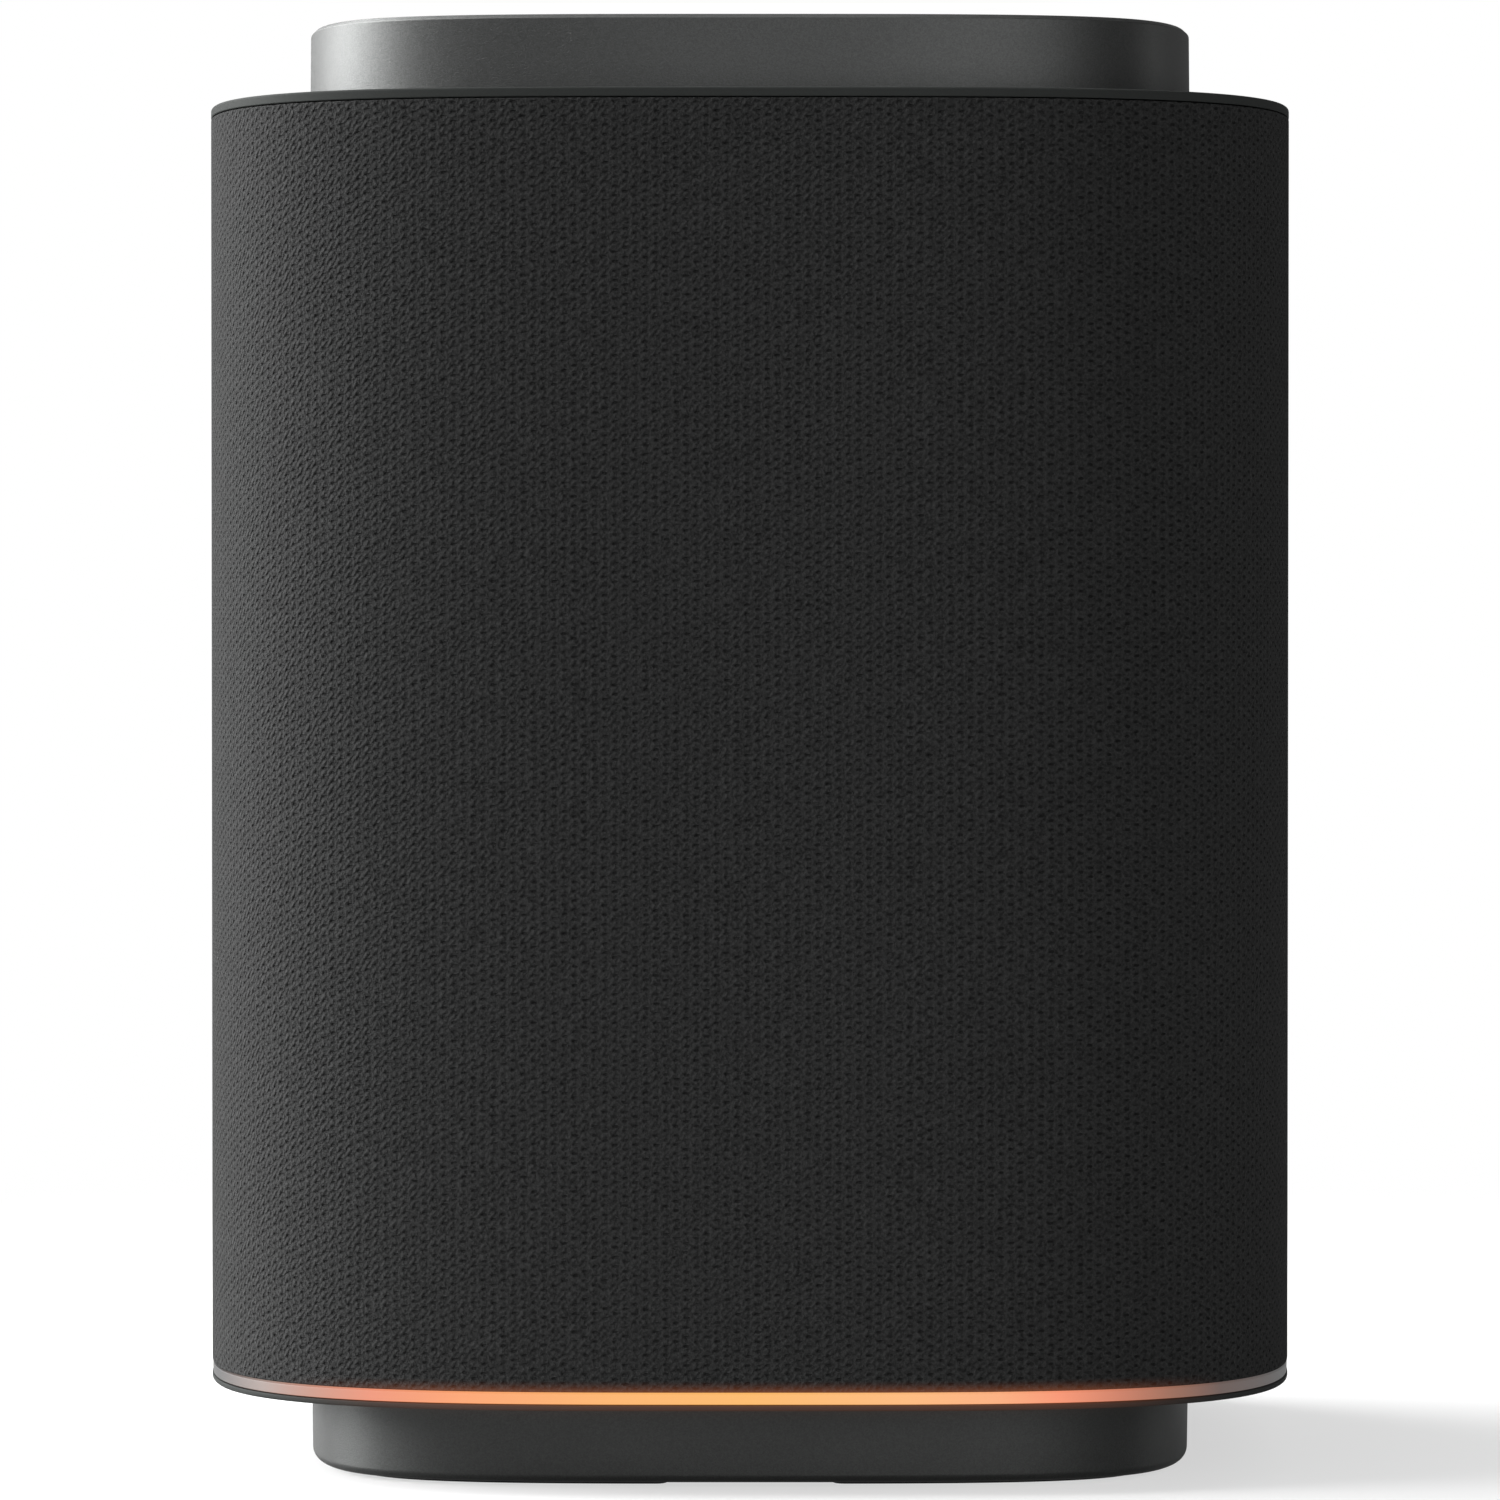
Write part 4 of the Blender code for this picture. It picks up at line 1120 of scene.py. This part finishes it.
# ---------------- parts kept from the frame
def inner_finishes():
    """Finishes for the parts kept as they are, by material slot."""
    return {
        "black_rubber": moulded("gasket_rubber", (0.014, 0.014, 0.014), 0.8, 0.3, 0.02),
        "surround_rubber": moulded("surround_rubber_fine", (0.018, 0.018, 0.018), 0.6, 0.5, 0.01),
        "board_laminate": circuit_board(),
        "plated_steel": brushed("plated_steel_fine", (0.55, 0.56, 0.57), 0.3),
        "ferrite": moulded("ferrite_fine", (0.045, 0.045, 0.05), 0.6, 0.4, 0.03),
        "bare_aluminium": brushed("aluminium_fine", (0.62, 0.63, 0.64), 0.36),
        "grille_plastic": moulded("grille_plastic_fine", (0.03, 0.03, 0.032), 0.6),
        "inner_plastic": moulded("enclosure_plastic", (0.05, 0.05, 0.055), 0.55, 0.4, 0.015),
        "button_plastic": moulded("key_plastic", (0.05, 0.052, 0.051), 0.45),
        "switch_plastic": moulded("switch_plastic_fine", (0.02, 0.02, 0.02), 0.5),
        "cone_paper": woven("cone_pulp", (0.03, 0.03, 0.03), 0.85, 0.6),
        "spider_cloth": woven("spider_weave", (0.35, 0.2, 0.06), 0.9, 0.5),
        "dome_silk": woven("dome_weave", (0.04, 0.04, 0.045), 0.7, 0.3),
        "ribbon_plastic": ribbon_film(),
    }


def ribbon_film():
    """Flat printed cable with lengthwise conductors."""
    finish = Finish("ribbon_film", (0.6, 0.3, 0.06), 0.4)
    turns = finish.math("MULTIPLY", finish.axes()[0], FULL_TURN / MM)
    lanes = finish.math("MULTIPLY_ADD", finish.math("SINE", turns), 0.5, 0.5)
    finish.use("Base Color", finish.tint(lanes, 0.7, 1.2))
    finish.use("Normal", finish.bump(lanes, 0.02))
    return finish


class SPEAKER_OT_insides(bpy.types.Operator):
    """Finishes for the drivers, boards, screws and other parts inside"""

    bl_idname = "speaker.insides"
    bl_label = "Inside parts"

    def execute(self, context):
        finishes = inner_finishes()
        slots = {part["node"]: part["material_slot"] for part in frame["record"]["subparts"]}
        for node, thing in frame["nodes"].items():
            if thing.hide_render:
                continue
            slot = slots[node]
            if slot not in finishes:
                raise RuntimeError(f"no finish for {slot}, the material slot of {node}")
            for material_slot in thing.material_slots:
                material_slot.material = finishes[slot].material
        return {"FINISHED"}


# ---------------- stage
def make_world():
    """White to the camera; dim as light, with more from above and less from the right."""
    world = bpy.data.worlds.new("studio_world")
    bpy.context.scene.world = world
    world.use_nodes = True
    tree = world.node_tree
    tree.nodes.clear()

    def mapped(value, *numbers):
        made = tree.nodes.new("ShaderNodeMapRange")
        for socket, number in zip(RANGE_SOCKETS, numbers):
            made.inputs[socket].default_value = number
        tree.links.new(value, made.inputs["Value"])
        return made.outputs["Result"]

    def white():
        made = tree.nodes.new("ShaderNodeBackground")
        made.inputs["Color"].default_value = WHITE
        made.inputs["Strength"].default_value = 1.0
        return made

    coordinates = tree.nodes.new("ShaderNodeTexCoord")
    axes = tree.nodes.new("ShaderNodeSeparateXYZ")
    tree.links.new(coordinates.outputs["Generated"], axes.inputs[0])
    ambient = studio().ambient
    product = tree.nodes.new("ShaderNodeMath")
    product.operation = "MULTIPLY"
    from_above = mapped(axes.outputs[2], -0.2, 1.0, ambient, ambient * 1.2)
    from_right = mapped(axes.outputs[0], -0.1, 0.8, 1.0, 0.66)
    tree.links.new(from_above, product.inputs[0])
    tree.links.new(from_right, product.inputs[1])
    light = white()
    tree.links.new(product.outputs[0], light.inputs["Strength"])
    path = tree.nodes.new("ShaderNodeLightPath")
    mix = tree.nodes.new("ShaderNodeMixShader")
    output = tree.nodes.new("ShaderNodeOutputWorld")
    tree.links.new(path.outputs["Is Camera Ray"], mix.inputs[0])
    tree.links.new(light.outputs[0], mix.inputs[1])
    tree.links.new(white().outputs[0], mix.inputs[2])
    tree.links.new(mix.outputs[0], output.inputs["Surface"])


def soft_panel(name, position, target, width, height, power):
    """A rectangular soft light aimed at a point."""
    data = bpy.data.lights.new(name, "AREA")
    data.shape = "RECTANGLE"
    data.size = width
    data.size_y = height
    data.energy = power
    lamp = bpy.data.objects.new(name, data)
    lamp.location = position
    aim = Vector(target) - Vector(position)
    lamp.rotation_euler = aim.to_track_quat("-Z", "Y").to_euler()
    lamp.visible_camera = False
    bpy.context.scene.collection.objects.link(lamp)


def table_finish():
    """Pale matt table that fades into the background far from the speaker."""
    finish = Finish("pale_table", (0.32, 0.32, 0.32), 0.9)
    cloud = finish.noise(6.0, 3.0)
    finish.use("Base Color", finish.tint(cloud, 0.985, 1.01))
    finish.use("Normal", finish.bump(finish.noise(1200.0, 2.0), 0.01))
    squares = [finish.math("MULTIPLY", part, part) for part in finish.axes()[:2]]
    reach = finish.math("SQRT", finish.math("ADD", *squares))
    fade = finish.between(reach, 0.08, 0.42, 1.0, 0.0)
    clear = finish.node("ShaderNodeBsdfTransparent")
    mix = finish.node("ShaderNodeMixShader")
    finish.tree.links.new(fade, mix.inputs[0])
    path = finish.node("ShaderNodeLightPath")
    lift = finish.math("MULTIPLY_ADD", path.outputs["Is Camera Ray"], 0.46, 0.14)
    finish.set("Emission Color", WHITE)
    finish.use("Emission Strength", lift)
    finish.tree.links.new(clear.outputs[0], mix.inputs[1])
    finish.tree.links.new(finish.shader.outputs[0], mix.inputs[2])
    output = next(n for n in finish.tree.nodes if n.type == "OUTPUT_MATERIAL")
    finish.tree.links.new(mix.outputs[0], output.inputs["Surface"])
    return finish


# Each soft light's name, place, what it is aimed at, width and height, in metres.
BODY_CENTRE = (0.0, 0.0, 0.085)
SOFT_LIGHTS = (
    ("side_light", (-1.03, 0.24, 0.76), BODY_CENTRE, 1.8, 1.3),
    ("front_light", (0.2, -0.6, 0.2), (0.0, 0.0, 0.12), 0.27, 0.45),
    ("top_light", (-0.35, 0.0, 1.1), BODY_CENTRE, 0.8, 0.8),
    ("left_strip", (-0.54, 0.12, 0.1), BODY_CENTRE, 0.16, 0.2),
    ("right_strip", (0.53, 0.15, 0.1), BODY_CENTRE, 0.16, 0.2),
)
TABLE_RADIUS_MM = 700.0
TABLE_THICKNESS_MM = 2.0


class SPEAKER_OT_stage(bpy.types.Operator):
    """Pale table, soft studio light and the camera"""

    bl_idname = "speaker.stage"
    bl_label = "Stage"

    def execute(self, context):
        scene = context.scene
        settings = studio()
        profile = (
            (0.0, -TABLE_THICKNESS_MM),
            (TABLE_RADIUS_MM, -TABLE_THICKNESS_MM),
            (TABLE_RADIUS_MM, 0.0),
            (0.0, 0.0),
        )
        table = lathe("table_top", profile, 96)
        table.data.materials.append(table_finish().material)
        make_world()
        for name, position, target, width, height in SOFT_LIGHTS:
            soft_panel(name, position, target, width, height, getattr(settings, name))
        camera_data = bpy.data.cameras.new("camera")
        camera_data.sensor_width = 36.0
        camera_data.lens = settings.lens
        camera_data.clip_start = 0.01
        camera_data.clip_end = 50.0
        camera = bpy.data.objects.new("camera", camera_data)
        camera.location = (0.0, -settings.camera_distance, settings.camera_height)
        camera.rotation_euler = (QUARTER_TURN - settings.camera_tilt, 0.0, 0.0)
        scene.collection.objects.link(camera)
        scene.camera = camera
        scene.view_settings.view_transform = "Standard"
        scene.view_settings.look = "None"
        return {"FINISHED"}


# ---------------- panel and registration
OPERATORS = (
    SPEAKER_OT_stage,
    SPEAKER_OT_sleeve,
    SPEAKER_OT_rims,
    SPEAKER_OT_light_ring,
    SPEAKER_OT_cap,
    SPEAKER_OT_controls,
    SPEAKER_OT_base,
    SPEAKER_OT_insides,
)


class SPEAKER_PT_panel(bpy.types.Panel):
    """Lists the pieces and their settings"""

    bl_idname = "SPEAKER_PT_panel"
    bl_label = "Smart speaker"
    bl_space_type = "VIEW_3D"
    bl_region_type = "UI"
    bl_category = "Speaker"

    def draw(self, context):
        column = self.layout.column()
        for operator in OPERATORS:
            column.operator(operator.bl_idname)
        for group in (sizes(), colours(), studio()):
            box = self.layout.box()
            for name in group.bl_rna.properties.keys():
                if name not in ("rna_type", "name"):
                    box.prop(group, name)


CLASSES = (SpeakerSizes, SpeakerColours, StudioSettings, *OPERATORS, SPEAKER_PT_panel)


def register():
    """Add the classes and the scene's settings."""
    for item in CLASSES:
        bpy.utils.register_class(item)
    bpy.types.Scene.speaker_sizes = PointerProperty(type=SpeakerSizes)
    bpy.types.Scene.speaker_colours = PointerProperty(type=SpeakerColours)
    bpy.types.Scene.speaker_studio = PointerProperty(type=StudioSettings)


def unregister():
    """Remove what register added."""
    del bpy.types.Scene.speaker_studio
    del bpy.types.Scene.speaker_colours
    del bpy.types.Scene.speaker_sizes
    for item in reversed(CLASSES):
        bpy.utils.unregister_class(item)


def main():
    """Build everything in order."""
    register()
    for operator in OPERATORS:
        step = operator.bl_idname.split(".")[1]
        getattr(bpy.ops.speaker, step)()


if __name__ == "__main__":
    main()
